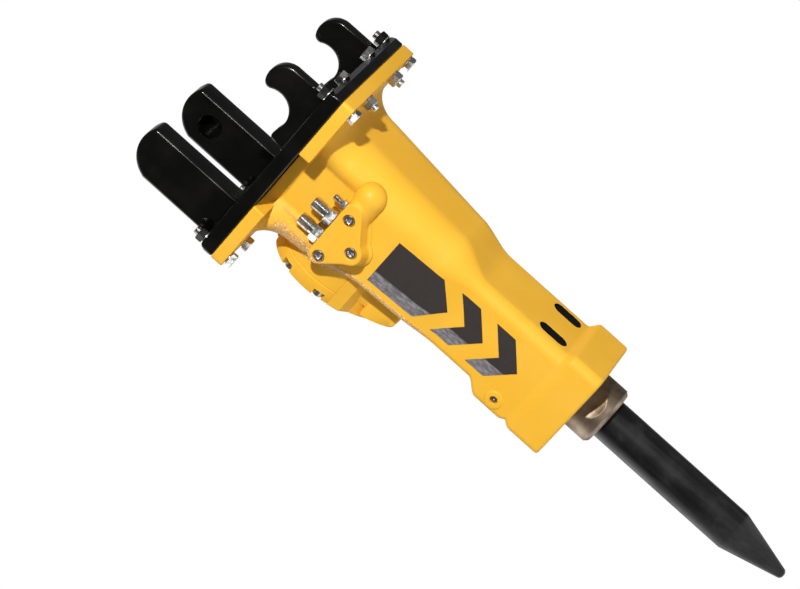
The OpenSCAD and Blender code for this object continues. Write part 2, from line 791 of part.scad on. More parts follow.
module valve_sleeve() {
    color(zinc) difference() {
        translate([0, 0, sleeve_z]) tube(sleeve_r, sleeve_bore_r, valve_sleeve_l);
        for (a = [0:60:300]) rotate(a) translate([0, 0, sleeve_z + valve_sleeve_l / 2]) rotate([0, 90, 0])
            cylinder(r = valve_port_r, h = sleeve_r + cut);
    }
}

module back_head() {
    color(dark_steel) difference() {
        union() {
            translate([0, 0, head_z]) cylinder(r = liner_r, h = head_plug_t + cut);
            translate([0, 0, -head_flange_t]) cylinder(r = head_flange_r, h = head_flange_t);
        }
        translate([0, 0, head_z + head_ring_rise]) tube(liner_r + cut, liner_r - o_ring_d, o_ring_d);
        at_head_screws() translate([0, 0, -screw_head_h - screw_sink])
            screw_hole(head_screw_l + screw_sink, screw_head_h + screw_sink);
    }
}

module back_head_seal() {
    color(rubber) translate([0, 0, head_z + head_ring_rise]) tube(liner_r, liner_r - o_ring_d, o_ring_d);
}

module back_head_screws() {
    color(dark_steel) at_head_screws() translate([0, 0, -screw_head_h - screw_sink])
        socket_screw(head_screw_l);
}

// Accumulator

module accumulator_cover() {
    pocket = 2 * counterbore_r;
    color(yellow) difference() {
        facing_rear(-acc_face_x) cylinder(r = acc_r, h = acc_cover_t);
        facing_rear(-acc_face_x + cut) cylinder(r = acc_chamber_r, h = acc_chamber_depth + cut);
        facing_rear(-acc_face_x - diaphragm_rim_t / 2) mirror([0, 0, 1])
            tube(diaphragm_rim_r, acc_chamber_r - cut, diaphragm_rim_t);
        facing_rear(acc_end_x - cut) mirror([0, 0, 1]) cylinder(r = gas_valve_r, h = acc_cover_t + 2 * cut);
        at_acc_screws(-acc_face_x) {
            translate([0, 0, -cut]) cylinder(r = screw_r + screw_hole_gap, h = acc_cover_t + 2 * cut);
            translate([-pocket / 2, -pocket / 2, acc_cover_t / 2]) cube([2 * pocket, pocket, acc_cover_t]);
        }
    }
}

module accumulator_diaphragm() {
    color(rubber) facing_rear(-acc_face_x) {
        translate([0, 0, -diaphragm_rim_t / 2]) tube(diaphragm_rim_r, acc_chamber_r - cut, diaphragm_rim_t);
        translate([0, 0, -diaphragm_t / 2]) cylinder(r = acc_chamber_r, h = diaphragm_t);
    }
}

module accumulator_screws() {
    color(zinc) at_acc_screws(-acc_face_x - acc_cover_t / 2) socket_screw(acc_screw_l - acc_cover_t / 2);
}

module gas_valve() {
    color(zinc) difference() {
        union() {
            facing_rear(-acc_face_x - acc_chamber_depth)
                cylinder(r = gas_valve_r - seat_gap, h = acc_cover_t - acc_chamber_depth);
            facing_rear(acc_end_x) hex(gas_hex_af, gas_hex_h);
        }
        facing_rear(-acc_face_x) cylinder(r = gas_bore_r, h = acc_cover_t + 2 * gas_hex_h);
    }
}

module gas_valve_cap() {
    color(dark_steel) facing_rear(acc_end_x - gas_hex_h) cylinder(r = gas_cap_r, h = gas_cap_l);
}

// Port block and fittings

// Outline of the block from the hose side: two upper corners and a lower one, spread at the seat
module block_outline(spread, grow) {
    corner_z = -block_top - block_corner_r;
    hull() {
        translate([block_x - block_screw_dx / 2, corner_z]) circle(block_corner_r + grow, $fn = 32);
        translate([block_x + block_screw_dx / 2 + block_corner_r + spread / 2, corner_z])
            circle(block_corner_r + grow, $fn = 32);
        translate([block_x - block_low_back, -block_low_z - spread]) circle(block_low_r + grow, $fn = 32);
    }
}

// The casting before its holes: a wedge that widens to its seat, and a round nose at its front
module block_casting() {
    slice = 1;
    hull() {
        facing_hose_side(0, block_face_y - slice, 0) linear_extrude(slice) block_outline(0, 0);
        facing_hose_side(0, block_seat_y, 0) linear_extrude(slice) block_outline(block_spread, 0);
    }
    translate([block_x, -nose_y, nose_z]) rotate([0, 90, 0]) cylinder(r = nose_r, h = nose_x - block_x);
    translate([nose_x, -nose_y, nose_z]) sphere(nose_r);
}

module port_block() {
    depth = block_face_y - block_seat_y;
    top = -block_top;
    color(yellow) difference() {
        block_casting();
        difference() {
            body_loft();
            facing_hose_side(0, block_seat_y, 0) linear_extrude(flange_w) block_outline(block_spread, 0);
        }
        translate([block_x - flange_l / 2, -flange_w / 2, top]) cube([flange_l, flange_w / 2, -top]);
        for (x = port_x) {
            translate([x, -port_y, top - port_thread_l])
                cylinder(r = port_thread_r + seat_gap, h = port_thread_l + cut);
            translate([x, -port_y, port_hole_z]) cylinder(r = port_bore_r, h = top - port_hole_z);
            translate([x, -port_y, port_hole_z]) rotate([-90, 0, 0]) cylinder(r = port_bore_r, h = port_y);
            facing_hose_side(x, block_seat_y - cut, port_hole_z)
                cylinder(r = port_seal_r, h = port_seal_t + cut);
        }
        translate([lube_x, -port_y, top - lube_thread_l])
            cylinder(r = lube_thread_r + seat_gap, h = lube_thread_l + cut);
        for (p = block_screw_xz) facing_hose_side(p[0], block_face_y, p[1])
            translate([0, 0, -screw_head_h - screw_sink]) screw_hole(depth, screw_head_h + screw_sink);
    }
}

module port_seals() {
    color(rubber) for (x = port_x) facing_hose_side(x, block_seat_y, port_hole_z)
        tube(port_seal_r, port_seal_r - port_seal_w, port_seal_t);
}

module port_block_screws() {
    color(zinc) for (p = block_screw_xz) facing_hose_side(p[0], block_face_y, p[1])
        translate([0, 0, -screw_head_h - screw_sink])
            socket_screw(block_face_y - block_seat_y + block_screw_end);
}

// A hose adapter: thread into the block, hexagon, collar and threaded nose, with a bore right through
module fitting(nose_d, thread_r, thread_l, hex_h, h, bore_r) {
    difference() {
        union() {
            translate([0, 0, -thread_l]) cylinder(r = thread_r, h = thread_l + cut);
            hex(nose_d * 1.25, hex_h);
            cylinder(d = nose_d * 0.86, h = h - cut);
            translate([0, 0, hex_h + fitting_neck_l]) cylinder(d = nose_d, h = h - hex_h - fitting_neck_l);
        }
        translate([0, 0, -thread_l - cut]) cylinder(r = bore_r, h = h + thread_l + 2 * cut);
    }
}

module hose_fitting(x) {
    color(zinc) translate([x, -port_y, -block_top])
        fitting(fitting_d, port_thread_r, port_thread_l - slide_gap, fitting_hex_h, fitting_h, port_bore_r);
}

module pressure_fitting() {
    hose_fitting(port_x[0]);
}

module return_fitting() {
    hose_fitting(port_x[1]);
}

module lube_fitting() {
    color(zinc) translate([lube_x, -port_y, -block_top])
        fitting(lube_d, lube_thread_r, lube_thread_l - slide_gap, lube_hex_h, lube_h, lube_bore_r);
}

// Screwed plugs in the ends of the drilled oil galleries, on the far side of the body
module at_plugs() {
    for (x = [-1, 1]) translate([x * plug_dx / 2, plug_face_y, -block_screw_z])
        rotate([-90, 0, 0]) children();
}

module gallery_plugs() {
    color(steel) at_plugs() difference() {
        union() {
            hex(2 * plug_r, plug_l);
            translate([0, 0, -plug_thread_l]) cylinder(r = plug_thread_r, h = plug_thread_l + cut);
        }
        translate([0, 0, plug_l / 2]) hex(plug_r, plug_l);
    }
}

// Bracket

module bracket_plate() {
    color(black) difference() {
        rounded_plate(flange_l, flange_w, plate_t, flange_r);
        for (x = [0, 1]) mirror([x, 0, 0]) translate([flange_l / 2 - plate_chamfer, 0, plate_t])
            rotate([0, 45, 0]) translate([0, -flange_w, 0]) cube([plate_t, 2 * flange_w, plate_t]);
        translate([-pocket_w / 2, -window_y, -cut]) cube([pocket_w, window_y - pocket_y, plate_t + 2 * cut]);
        for (p = concat(bolt_places, crossed_places))
            translate([p[0], p[1], -cut]) cylinder(r = bolt_hole_r, h = plate_t + 2 * cut);
    }
}

// Extrudes an outline drawn in x and z across one hook, whose middle is at y
module hook_extrude(y, t) {
    translate([0, y + t / 2, 0]) rotate([90, 0, 0]) linear_extrude(t) children();
}

module front_hook(y) {
    top_z = saddle_z + hook_top_dz;
    heel_x = saddle_x - sqrt(pow(saddle_r, 2) - pow(saddle_z - heel_z, 2)) - heel_t;
    color(black) difference() {
        hook_extrude(y, hook_t) {
            translate([heel_x, plate_t]) square([hook_top_x - heel_x, heel_z - plate_t]);
            translate([hook_top_x - hook_top_r, plate_t]) square([2 * hook_top_r, top_z - plate_t]);
            translate([hook_top_x, top_z]) circle(hook_top_r);
        }
        translate([saddle_x, y, saddle_z]) rotate([90, 0, 0])
            cylinder(r = saddle_r, h = hook_t + 2 * cut, center = true);
    }
}

module rear_hook(side) {
    inner_y = side * (rear_out - rear_t);
    color(black) difference() {
        hook_extrude(side * rear_y, rear_t) {
            translate([-rear_front - rear_l, plate_t]) square([rear_l, rear_top_z - plate_t]);
            intersection() {
                translate([rear_top_x, rear_top_z]) circle(rear_top_r);
                translate([-rear_front - rear_l, rear_top_z - cut]) square([rear_l, rear_top_r + 2 * cut]);
            }
        }
        translate([lock_bore_x, inner_y - side * cut, lock_bore_z]) rotate([-90 * side, 0, 0])
            cylinder(r = lock_bore_r, h = lock_bore_depth + cut);
    }
}

module front_hook_near() {
    front_hook(-hook_y);
}

module front_hook_far() {
    front_hook(hook_y);
}

module rear_hook_near() {
    rear_hook(-1);
}

module rear_hook_far() {
    rear_hook(1);
}

// Flange fasteners

// A hex bolt, its head's seat at z = 0 and its shank pointing up
module hex_bolt() {
    translate([0, 0, -bolt_head_h]) hex(bolt_af, bolt_head_h);
    translate([0, 0, -cut]) cylinder(d = bolt_d, h = grip + nut_h + bolt_end + cut);
}

module hex_nut() {
    difference() {
        hex(bolt_af, nut_h);
        translate([0, 0, -cut]) cylinder(d = bolt_d + 2 * seat_gap, h = nut_h + 2 * cut);
    }
}

module flange_bolts() {
    color(zinc) for (p = bolt_places) translate([p[0], p[1], -flange_t - washer_t]) hex_bolt();
}

module flange_nuts() {
    color(black) for (p = bolt_places) translate([p[0], p[1], plate_t + washer_t]) hex_nut();
}

module crossed_bolts() {
    color(zinc) for (p = crossed_places) translate([p[0], p[1], plate_t + washer_t])
        mirror([0, 0, 1]) hex_bolt();
}

module crossed_nuts() {
    color(zinc) for (p = crossed_places) translate([p[0], p[1], -flange_t - washer_t - nut_h]) hex_nut();
}

module flange_washers() {
    color(zinc) for (p = concat(bolt_places, crossed_places), z = [-flange_t - washer_t, plate_t])
        translate([p[0], p[1], z]) tube(washer_r, bolt_d / 2 + seat_gap, washer_t);
}

// Moves a piece from the tool axis to the part's own frame
module placed() {
    translate([-saddle_x, 0, -saddle_z]) children();
}

placed() housing();
placed() lower_bush();
placed() dust_seal();
placed() bush_lock_pin();
placed() upper_bush();
placed() retainer_bars();
placed() retainer_lock_pin();
placed() tool();
placed() piston();
placed() cylinder_liner();
placed() piston_seals();
placed() liner_seals();
placed() valve_housing();
placed() valve_sleeve();
placed() back_head();
placed() back_head_seal();
placed() back_head_screws();
placed() accumulator_cover();
placed() accumulator_diaphragm();
placed() accumulator_screws();
placed() gas_valve();
placed() gas_valve_cap();
placed() port_block();
placed() port_seals();
placed() port_block_screws();
placed() pressure_fitting();
placed() return_fitting();
placed() lube_fitting();
placed() gallery_plugs();
placed() bracket_plate();
placed() front_hook_near();
placed() front_hook_far();
placed() rear_hook_near();
placed() rear_hook_far();
placed() flange_bolts();
placed() flange_nuts();
placed() crossed_bolts();
placed() crossed_nuts();
placed() flange_washers();
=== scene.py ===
"""Looks of a hydraulic breaker hammer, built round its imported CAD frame.

Shapes are worked out in millimetres about the tool axis, with z = 0 at the joint face between the
housing and the bracket, +X to the front and the hose side facing -Y. on_part() takes them to metres.
"""

import json
import math

import bmesh
import bpy
import numpy as np
from mathutils import Matrix, Vector


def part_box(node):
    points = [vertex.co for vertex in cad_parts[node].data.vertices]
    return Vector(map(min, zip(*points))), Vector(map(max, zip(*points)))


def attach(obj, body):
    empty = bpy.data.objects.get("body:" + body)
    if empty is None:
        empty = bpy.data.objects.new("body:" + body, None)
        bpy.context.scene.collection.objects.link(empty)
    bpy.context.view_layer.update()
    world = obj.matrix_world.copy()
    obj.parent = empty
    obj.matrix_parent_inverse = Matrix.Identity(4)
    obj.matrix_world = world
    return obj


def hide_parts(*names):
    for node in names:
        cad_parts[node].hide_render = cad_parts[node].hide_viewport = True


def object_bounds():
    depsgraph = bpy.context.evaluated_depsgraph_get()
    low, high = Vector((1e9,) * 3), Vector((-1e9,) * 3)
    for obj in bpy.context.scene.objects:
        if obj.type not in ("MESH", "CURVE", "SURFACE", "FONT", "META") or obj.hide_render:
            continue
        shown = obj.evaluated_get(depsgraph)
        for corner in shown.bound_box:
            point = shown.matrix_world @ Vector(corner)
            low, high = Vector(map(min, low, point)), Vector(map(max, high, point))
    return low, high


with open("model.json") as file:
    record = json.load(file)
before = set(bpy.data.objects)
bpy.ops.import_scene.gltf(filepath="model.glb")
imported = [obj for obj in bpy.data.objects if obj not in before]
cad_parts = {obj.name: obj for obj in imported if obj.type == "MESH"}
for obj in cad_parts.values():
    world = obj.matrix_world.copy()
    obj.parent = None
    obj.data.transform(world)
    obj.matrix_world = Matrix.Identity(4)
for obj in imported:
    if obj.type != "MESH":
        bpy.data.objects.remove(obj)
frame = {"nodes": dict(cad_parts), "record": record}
cad_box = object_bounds()

# Datum of the shapes, read from the frame
tool_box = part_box("tool")
AXIS = np.array([(tool_box[0].x + tool_box[1].x) / 2, 0.0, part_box("bracket_plate")[0].z])
MM = 0.001


def on_part(points):
    """Millimetres about the tool axis to metres in the part's own frame."""
    return np.asarray(points, float) * MM + AXIS


def seen(node):
    """A CAD node's lowest and highest corners, in millimetres about the tool axis."""
    low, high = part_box(node)
    return (np.array(low) - AXIS) / MM, (np.array(high) - AXIS) / MM


# Body sizes
FLANGE_T = 30
FLANGE_GAP = 0.4
FLANGE_EDGE = 2.6
NECK_HALF = 147
FILLET_H = 70
FILLET_W = 40
SHOULDER_HALF = 124
NECK_R = 86
SHOULDER_R = 74
NECK_REAR = 133
NECK_REAR_R = 38
REAR_R = 13
REAR_RUN = 290
SHOULDER_Z = -372
SHOULDER_H = 108
WAIST_FRONT = 91
WAIST_REAR = 97
WAIST_HALF = 107
WAIST_R = 30
FOOT_FRONT = 108
FOOT_REAR = 125
FOOT_HALF = 115
FOOT_R = 22
FOOT_H = 76
FOOT_STEP_H = 24
SWELL_H = 180
SWELL_BLEND = 42
GROOVE_DEPTH = 7
GROOVE_HALF = 8
FOOT_EDGE = 7
POCKET_HALF = 80
POCKET_FLOOR = 62
POCKET_SLOPE = 1.3
POCKET_Y = 130
POCKET_Z = -145
FOOT_Z = seen("housing")[0][2]
FILLET_Z = -FLANGE_T - FILLET_H
WAIST_Z = SHOULDER_Z - SHOULDER_H

# Bore of the body, from the foot up
BUSH_SEAT_R = 71.2
BUSH_SEAT_H = 98
BORE_R = 67
BORE_H = 333.25

# Accumulator, and the rib below it
ACC_Z = -190
ACC_R = 122
ACC_FACE = 158
ACC_END = 194
LID_T = ACC_END - ACC_FACE
LID_GAP = 0.3
DRUM_START = 90
DRUM_CHAMFER = 1.6
REAR_ROOT = 60
RIB_HALF = 70
RIB_TOP_Z = -251
RIB_NOTCH_Z = -315
RIB_LOW_Z = -392
RIB_KNEE_Z = -294
RIB_OUT = 6
RIB_SLOPE = (90, 42)

# Socket screws, block and gallery plugs
SCREW_HEAD_R = 12
SCREW_HEAD_H = 16
SCREW_AF = 13.6
SCREW_R = 8
SCREW_SHANK = 40
SCREW_SEAT = 18
COUNTERBORE_R = 14
BLOCK_FACE = 175
BLOCK_SCREWS = ((-85, -171), (25, -171), (-30, -219))
PLUGS_X = (-40, 40)
PLUG_Z = BLOCK_SCREWS[0][1]
PLUG_SINK = 3
PLUG_SEAT_R = 15.6
PLUG_SEAT_DEPTH = 0.5

# Retainer slots and lock pin
SLOT_Y = 57
SLOT_Z = FOOT_Z + 146
SLOT_W = 34
SLOT_H = 75
SLOT_FLOOR = 40
LOCK_PIN_X = -96
LOCK_PIN_R = 8
LOCK_PIN_SINK = 4
PIN_HOLE_R = 9.4
PIN_HOLE_DEPTH = 24

# Bracket plate
PLATE_X, PLATE_Y, PLATE_TOP = seen("bracket_plate")[1]
PLATE_T = 33
PLATE_CHAMFER = 12

# Edge of a slab that only cuts
SHARP = 0.01


# Mesh tools

def link_mesh(name, points, faces, recalc=True):
    """Makes a mesh object at the origin from points about the tool axis, with doubles merged."""
    mesh = bpy.data.meshes.new(name)
    mesh.from_pydata(on_part(points).tolist(), [], faces)
    obj = bpy.data.objects.new(name, mesh)
    bpy.context.scene.collection.objects.link(obj)
    clean(mesh, recalc)
    return obj


def clean(mesh, recalc=True):
    """Merges doubles, drops faces without area and, if recalc, turns the faces outwards."""
    bm = bmesh.new()
    bm.from_mesh(mesh)
    bmesh.ops.remove_doubles(bm, verts=bm.verts, dist=2e-6)
    bmesh.ops.dissolve_degenerate(bm, edges=bm.edges, dist=1e-6)
    if recalc:
        bmesh.ops.recalc_face_normals(bm, faces=bm.faces)
    bm.to_mesh(mesh)
    bm.free()


def shade(obj, angle):
    """Smooth shading, with edges sharper than the angle kept crisp."""
    mesh = obj.data
    mesh.polygons.foreach_set("use_smooth", np.ones(len(mesh.polygons), bool))
    mesh.set_sharp_from_angle(angle=math.radians(angle))


def finish_piece(obj, material, body="housing", replaces=(), angle=35):
    """Shading, finish, body and the CAD nodes that the piece stands for."""
    shade(obj, angle)
    obj.data.materials.clear()
    obj.data.materials.append(material)
    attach(obj, body)
    if replaces:
        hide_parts(*replaces)


def grid_faces(rows, cols, wrap=True):
    """Quads of a grid of rows by cols points, closed round the columns if wrap."""
    index = np.arange(rows * cols).reshape(rows, cols)
    right = np.roll(index, -1, axis=1)
    if not wrap:
        index, right = index[:, :-1], right[:, :-1]
    quads = np.stack([index[:-1], right[:-1], right[1:], index[1:]], axis=-1)
    return quads.reshape(-1, 4).tolist()


def end_caps(rows, cols):
    """The first and the last row of a grid, each as one face."""
    return [list(range(cols)), list(range((rows - 1) * cols, rows * cols))]


def join(objects, name):
    """Several mesh objects as one mesh object."""
    bm = bmesh.new()
    for o in objects:
        bm.from_mesh(o.data)
    mesh = bpy.data.meshes.new(name)
    bm.to_mesh(mesh)
    bm.free()
    for o in objects:
        bpy.data.objects.remove(o)
    obj = bpy.data.objects.new(name, mesh)
    bpy.context.scene.collection.objects.link(obj)
    return obj


def carve(obj, cutters):
    """Cuts the cutters out of obj with an exact boolean and applies it."""
    cutter = join(cutters, "cutter")
    modifier = obj.modifiers.new("carve", "BOOLEAN")
    modifier.operation = "DIFFERENCE"
    modifier.solver = "EXACT"
    modifier.object = cutter
    apply_modifiers(obj)
    bpy.data.objects.remove(cutter)
    clean(obj.data, recalc=False)


def apply_modifiers(obj):
    """Bakes the object's modifiers into a new mesh."""
    bpy.context.view_layer.update()
    graph = bpy.context.evaluated_depsgraph_get()
    mesh = bpy.data.meshes.new_from_object(obj.evaluated_get(graph))
    obj.modifiers.clear()
    obj.data = mesh


def read_points(obj):
    """The mesh's points as rows of metres in the part's own frame."""
    points = np.zeros(len(obj.data.vertices) * 3, np.float32)
    obj.data.vertices.foreach_get("co", points)
    return points.reshape(-1, 3)


def write_points(obj, points):
    """Puts points read by read_points back into the mesh."""
    obj.data.vertices.foreach_set("co", points.ravel())


# Surfaces of revolution and six-sided pieces

HEX_SIDES = 6


def hex_factor(angle):
    """Radius of a regular hexagon over its inner radius: 1 / cos of the angle from the nearest flat."""
    step = 2 * math.pi / HEX_SIDES
    return 1 / np.cos((angle + step / 2) % step - step / 2)


def placed(points, turn, at):
    """A list of points, turned if there is a turn, then moved to a place."""
    points = points.reshape(-1, 3)
    if turn is not None:
        points = points @ np.array(turn.to_3x3()).T
    return points + np.array(at, float)


def turned(name, rows, turn=None, at=(0, 0, 0), count=64):
    """A profile of rows (radius, height, hexagon share, corner dip) carried round +Z.

    The radius at an angle is the row's radius times 1 + share * (hexagon factor - 1); the height moves by
    the dip times how far the hexagon stands past its inner radius, which gives a bolt head its chamfer.
    """
    table = np.array([tuple(r) + (0,) * (4 - len(r)) for r in rows], float)
    angle = np.arange(count) * 2 * math.pi / count
    extra = hex_factor(angle)[None, :] - 1
    radius = table[:, :1] * (1 + table[:, 2:3] * extra)
    height = table[:, 1:2] + table[:, 3:4] * table[:, :1] * extra
    points = np.stack([radius * np.cos(angle), radius * np.sin(angle), height], axis=-1)
    return link_mesh(name, placed(points, turn, at), grid_faces(len(table), count))


def ring_profile(outer, inner, low, high, edge):
    """Rows of a ring with all four edges chamfered, closed on itself."""
    return [(inner, low + edge), (inner + edge, low), (outer - edge, low), (outer, low + edge),
            (outer, high - edge), (outer - edge, high), (inner + edge, high), (inner, high - edge),
            (inner, low + edge)]


TO_REAR = Matrix.Rotation(math.radians(-90), 4, "Y")
TO_HOSE_SIDE = Matrix.Rotation(math.radians(90), 4, "X")
TO_FAR_SIDE = Matrix.Rotation(math.radians(-90), 4, "X")
UPSIDE_DOWN = Matrix.Rotation(math.pi, 4, "X")


# Slabs with rounded edges

def arc(centre, radius, start, end, count):
    """Points on a circle from one angle to another, in degrees."""
    angle = np.radians(np.linspace(start, end, count))
    return np.stack([centre[0] + radius * np.cos(angle), centre[1] + radius * np.sin(angle)], axis=-1)


def rounded_outline(corners, radii, count=9):
    """A polygon whose corners are each replaced by a curve from one side to the other.

    The curve is a quadratic one: (1 - s)^2 of its start, 2s(1 - s) of the corner and s^2 of its end, which
    lie at radius / tan(half the corner's angle) from the corner.
    """
    corners = np.array(corners, float)
    radii = np.broadcast_to(np.array(radii, float), len(corners))
    before = np.roll(corners, 1, axis=0) - corners
    after = np.roll(corners, -1, axis=0) - corners
    before /= np.linalg.norm(before, axis=1, keepdims=True)
    after /= np.linalg.norm(after, axis=1, keepdims=True)
    half = np.arccos(np.clip((before * after).sum(1), -1, 1)) / 2
    reach = (radii / np.tan(half))[:, None]
    share = np.linspace(0, 1, count)[None, :, None]
    first = (corners + before * reach)[:, None, :]
    last = (corners + after * reach)[:, None, :]
    bulge = 2 * share * (1 - share)
    return (first * (1 - share) ** 2 + corners[:, None, :] * bulge + last * share ** 2).reshape(-1, 2)


def outline_normals(outline):
    """Outward unit normals at the points of an anticlockwise outline."""
    along = np.roll(outline, -1, axis=0) - np.roll(outline, 1, axis=0)
    along /= np.maximum(np.linalg.norm(along, axis=1, keepdims=True), 1e-9)
    return np.stack([along[:, 1], -along[:, 0]], axis=-1)


def inset_limit(outline, edge):
    """How far each point may be drawn in: seven tenths of the radius where the outline bulges tightly."""
    after = np.roll(outline, -1, axis=0) - outline
    before = outline - np.roll(outline, 1, axis=0)
    turn = np.arctan2(before[:, 0] * after[:, 1] - before[:, 1] * after[:, 0], (before * after).sum(1))
    step = (np.linalg.norm(after, axis=1) + np.linalg.norm(before, axis=1)) / 2
    radius = step / np.maximum(turn, 1e-6)
    limit = np.minimum(radius * 0.7, edge)
    for _ in range(6):
        wide = (np.roll(limit, 1) + limit + np.roll(limit, -1)) / 3
        limit = np.minimum(limit, wide)
    return limit


def slab(name, outline, low, high, edge, axes, middle=(), shape=None):
    """An outline carried along its normal axis, drawn in by a quarter round at both ends.

    axes gives which of x, y, z the outline's two numbers and the height stand for. Rows between the ends
    go at the heights in middle, and shape may bend the finished points.
    """
    quarter = np.radians(np.linspace(0, 90, 7))
    rise, close = 1 - np.cos(quarter), 1 - np.sin(quarter)
    inset = np.concatenate([edge * close, np.zeros(len(middle)), edge * rise])
    height = np.concatenate([low + edge * rise, np.array(middle, float), high - edge * close])
    normals = outline_normals(outline)
    share = np.minimum(inset_limit(outline, edge) / edge, 1)
    flat = outline[None] - normals[None] * inset[:, None, None] * share[None, :, None]
    rows, count = flat.shape[:2]
    points = np.zeros((rows, count, 3))
    points[:, :, axes[0]] = flat[:, :, 0]
    points[:, :, axes[1]] = flat[:, :, 1]
    points[:, :, axes[2]] = height[:, None]
    points = points.reshape(-1, 3)
    if shape is not None:
        points = shape(points)
    first, last = end_caps(rows, count)
    return link_mesh(name, points, grid_faces(rows, count) + [first[::-1], last])


# Distances for the cast shapes

CAST_STEPS = 72
CAST_HALVINGS = 16


def mix(a, b, t):
    """a at t = 0, b at t = 1, a straight line between."""
    return a + (b - a) * t


def ramp(value, start, end):
    """0 up to start, 1 from end on, and 3t^2 - 2t^3 of the share t between."""
    t = np.clip((value - start) / (end - start), 0, 1)
    return t * t * (3 - 2 * t)


def quarter_round(t):
    """A quarter circle's rise, 1 - sqrt(1 - t^2), from 0 at t = 0 to 1 at t = 1."""
    t = np.clip(t, 0, 1)
    return 1 - np.sqrt(1 - t * t)


def body_sizes(z):
    """Front, rear, half width, front and rear corner radius of the body at height z.

    Each is a mix of the neck's, waist's and foot's sizes by smooth steps of z. A quarter round flares it
    into the flange and another draws the foot's edge in; a bell curve of z sinks a groove at the rear.
    """
    below = np.clip((FILLET_Z - z) / (FILLET_Z - SHOULDER_Z), 0, 1)
    flare = FILLET_W * quarter_round((z - FILLET_Z) / FILLET_H)
    upper = mix(NECK_HALF, SHOULDER_HALF, below) + flare
    waist = ramp(z, SHOULDER_Z, WAIST_Z)
    foot = ramp(z, FOOT_Z + FOOT_H + FOOT_STEP_H, FOOT_Z + FOOT_H)
    swell = ramp(z, FOOT_Z + SWELL_H + SWELL_BLEND, FOOT_Z + SWELL_H)
    run = ramp(z, FILLET_Z, -REAR_RUN)
    edge = FOOT_EDGE * quarter_round((FOOT_Z + FOOT_EDGE - z) / FOOT_EDGE)
    front = mix(mix(upper, WAIST_FRONT, waist), FOOT_FRONT, foot) - edge
    groove = GROOVE_DEPTH * np.exp(-((z - FOOT_Z - FOOT_H - FOOT_STEP_H) / GROOVE_HALF) ** 2)
    rear = mix(mix(NECK_REAR, WAIST_REAR, run) + flare, FOOT_REAR, swell) - edge - groove
    half = mix(mix(upper, WAIST_HALF, waist), FOOT_HALF, foot) - edge
    front_r = mix(mix(mix(NECK_R, SHOULDER_R, below), WAIST_R, waist), FOOT_R, foot)
    rear_r = mix(NECK_REAR_R, REAR_R, run)
    return front, rear, half, front_r, rear_r


def half_width(z):
    """Half width of the body at one height."""
    return body_sizes(np.array([z]))[2][0]


def both(a, b, k):
    """Distance inside both shapes: the larger, raised by up to k / 4 where the two are within k."""
    h = np.maximum(k - np.abs(a - b), 0) / k
    return np.maximum(a, b) + h * h * k / 4


def either(a, b, k):
    """Distance inside either shape, with a fillet of k between them."""
    return -both(-a, -b, k)


def section_distance(x, y, sizes):
    """Distance from a rounded rectangle with its own front and rear corner radii."""
    front, rear, half, front_r, rear_r = sizes
    middle = (front - rear) / 2
    r = np.where(x > middle, front_r, rear_r)
    qx = np.abs(x - middle) - (front + rear) / 2 + r
    qy = np.abs(y) - half + r
    outside = np.hypot(np.maximum(qx, 0), np.maximum(qy, 0))
    return np.minimum(np.maximum(qx, qy), 0) + outside - r


def body_distance(x, y, z, sizes):
    """The cast body: section, accumulator drum, rear rib and sloping hose pocket, blended as a casting is."""
    body = section_distance(x, y, sizes)
    drum = both(np.hypot(y, z - ACC_Z) - ACC_R + 1.2, np.maximum(-x - ACC_FACE + 2, x + REAR_ROOT), 6)
    run, fall = RIB_SLOPE
    slope = ((-x - ACC_END - RIB_OUT) * run + (RIB_KNEE_Z - z) * fall) / math.hypot(run, fall)
    rib = both(both(np.abs(y) - RIB_HALF, RIB_LOW_Z - z, 10), slope, 14)
    rib = both(rib, np.maximum(z - RIB_TOP_Z, x + REAR_ROOT), 10)
    rib = both(rib, np.minimum(-x - ACC_FACE, z - RIB_NOTCH_Z), 4)
    outward = np.maximum(-y - POCKET_Y, 0)
    sides = (np.abs(x) - POCKET_FLOOR - POCKET_SLOPE * outward) / math.hypot(1, POCKET_SLOPE)
    pocket = np.maximum(np.maximum(sides, y + POCKET_Y), POCKET_Z - z)
    return both(either(either(body, drum, 16), rib, 22), -pocket, 18)


def cast_surface(distance, centre, direction, near, far):
    """The outermost point on each ray from centre where the distance crosses zero, by steps and halving."""
    reach = far.copy()
    last = far.copy()
    found = np.zeros(far.shape, bool)
    for t in np.linspace(0, 1, CAST_STEPS):
        r = mix(far, near, t)
        p = centre + direction * r[..., None]
        inside = (distance(p[..., 0], p[..., 1], p[..., 2]) < 0) & ~found
        reach = np.where(inside, r, reach)
        found |= inside
        last = np.where(found, last, r)
    low, high = reach, last
    for _ in range(CAST_HALVINGS):
        r = (low + high) / 2
        p = centre + direction * r[..., None]
        inside = distance(p[..., 0], p[..., 1], p[..., 2]) < 0
        low = np.where(inside, r, low)
        high = np.where(inside, high, r)
    return centre + direction * low[..., None]


# Cast body

RING_STEP = 3.0
RING_STEP_LOW = 3.2
RING_CHANGE_Z = -400
EDGE_RINGS = 8
FRONT_CORNER_POINTS = 40
REAR_CORNER_POINTS = 16
SIDE_POINTS = (40, 26, 40, 22)
SKIN_NEAR = 0.6
SKIN_FAR = 110


def body_rows():
    """Heights of the body's rings, closer together where the shape turns."""
    upper = np.arange(-FLANGE_T + 4, RING_CHANGE_Z, -RING_STEP)
    lower = np.arange(RING_CHANGE_Z, FOOT_Z + 10, -RING_STEP_LOW)
    edge = FOOT_EDGE * (1 - np.sin(np.radians(np.linspace(0, 90, EDGE_RINGS))))
    return np.concatenate([upper, lower, FOOT_Z + edge])


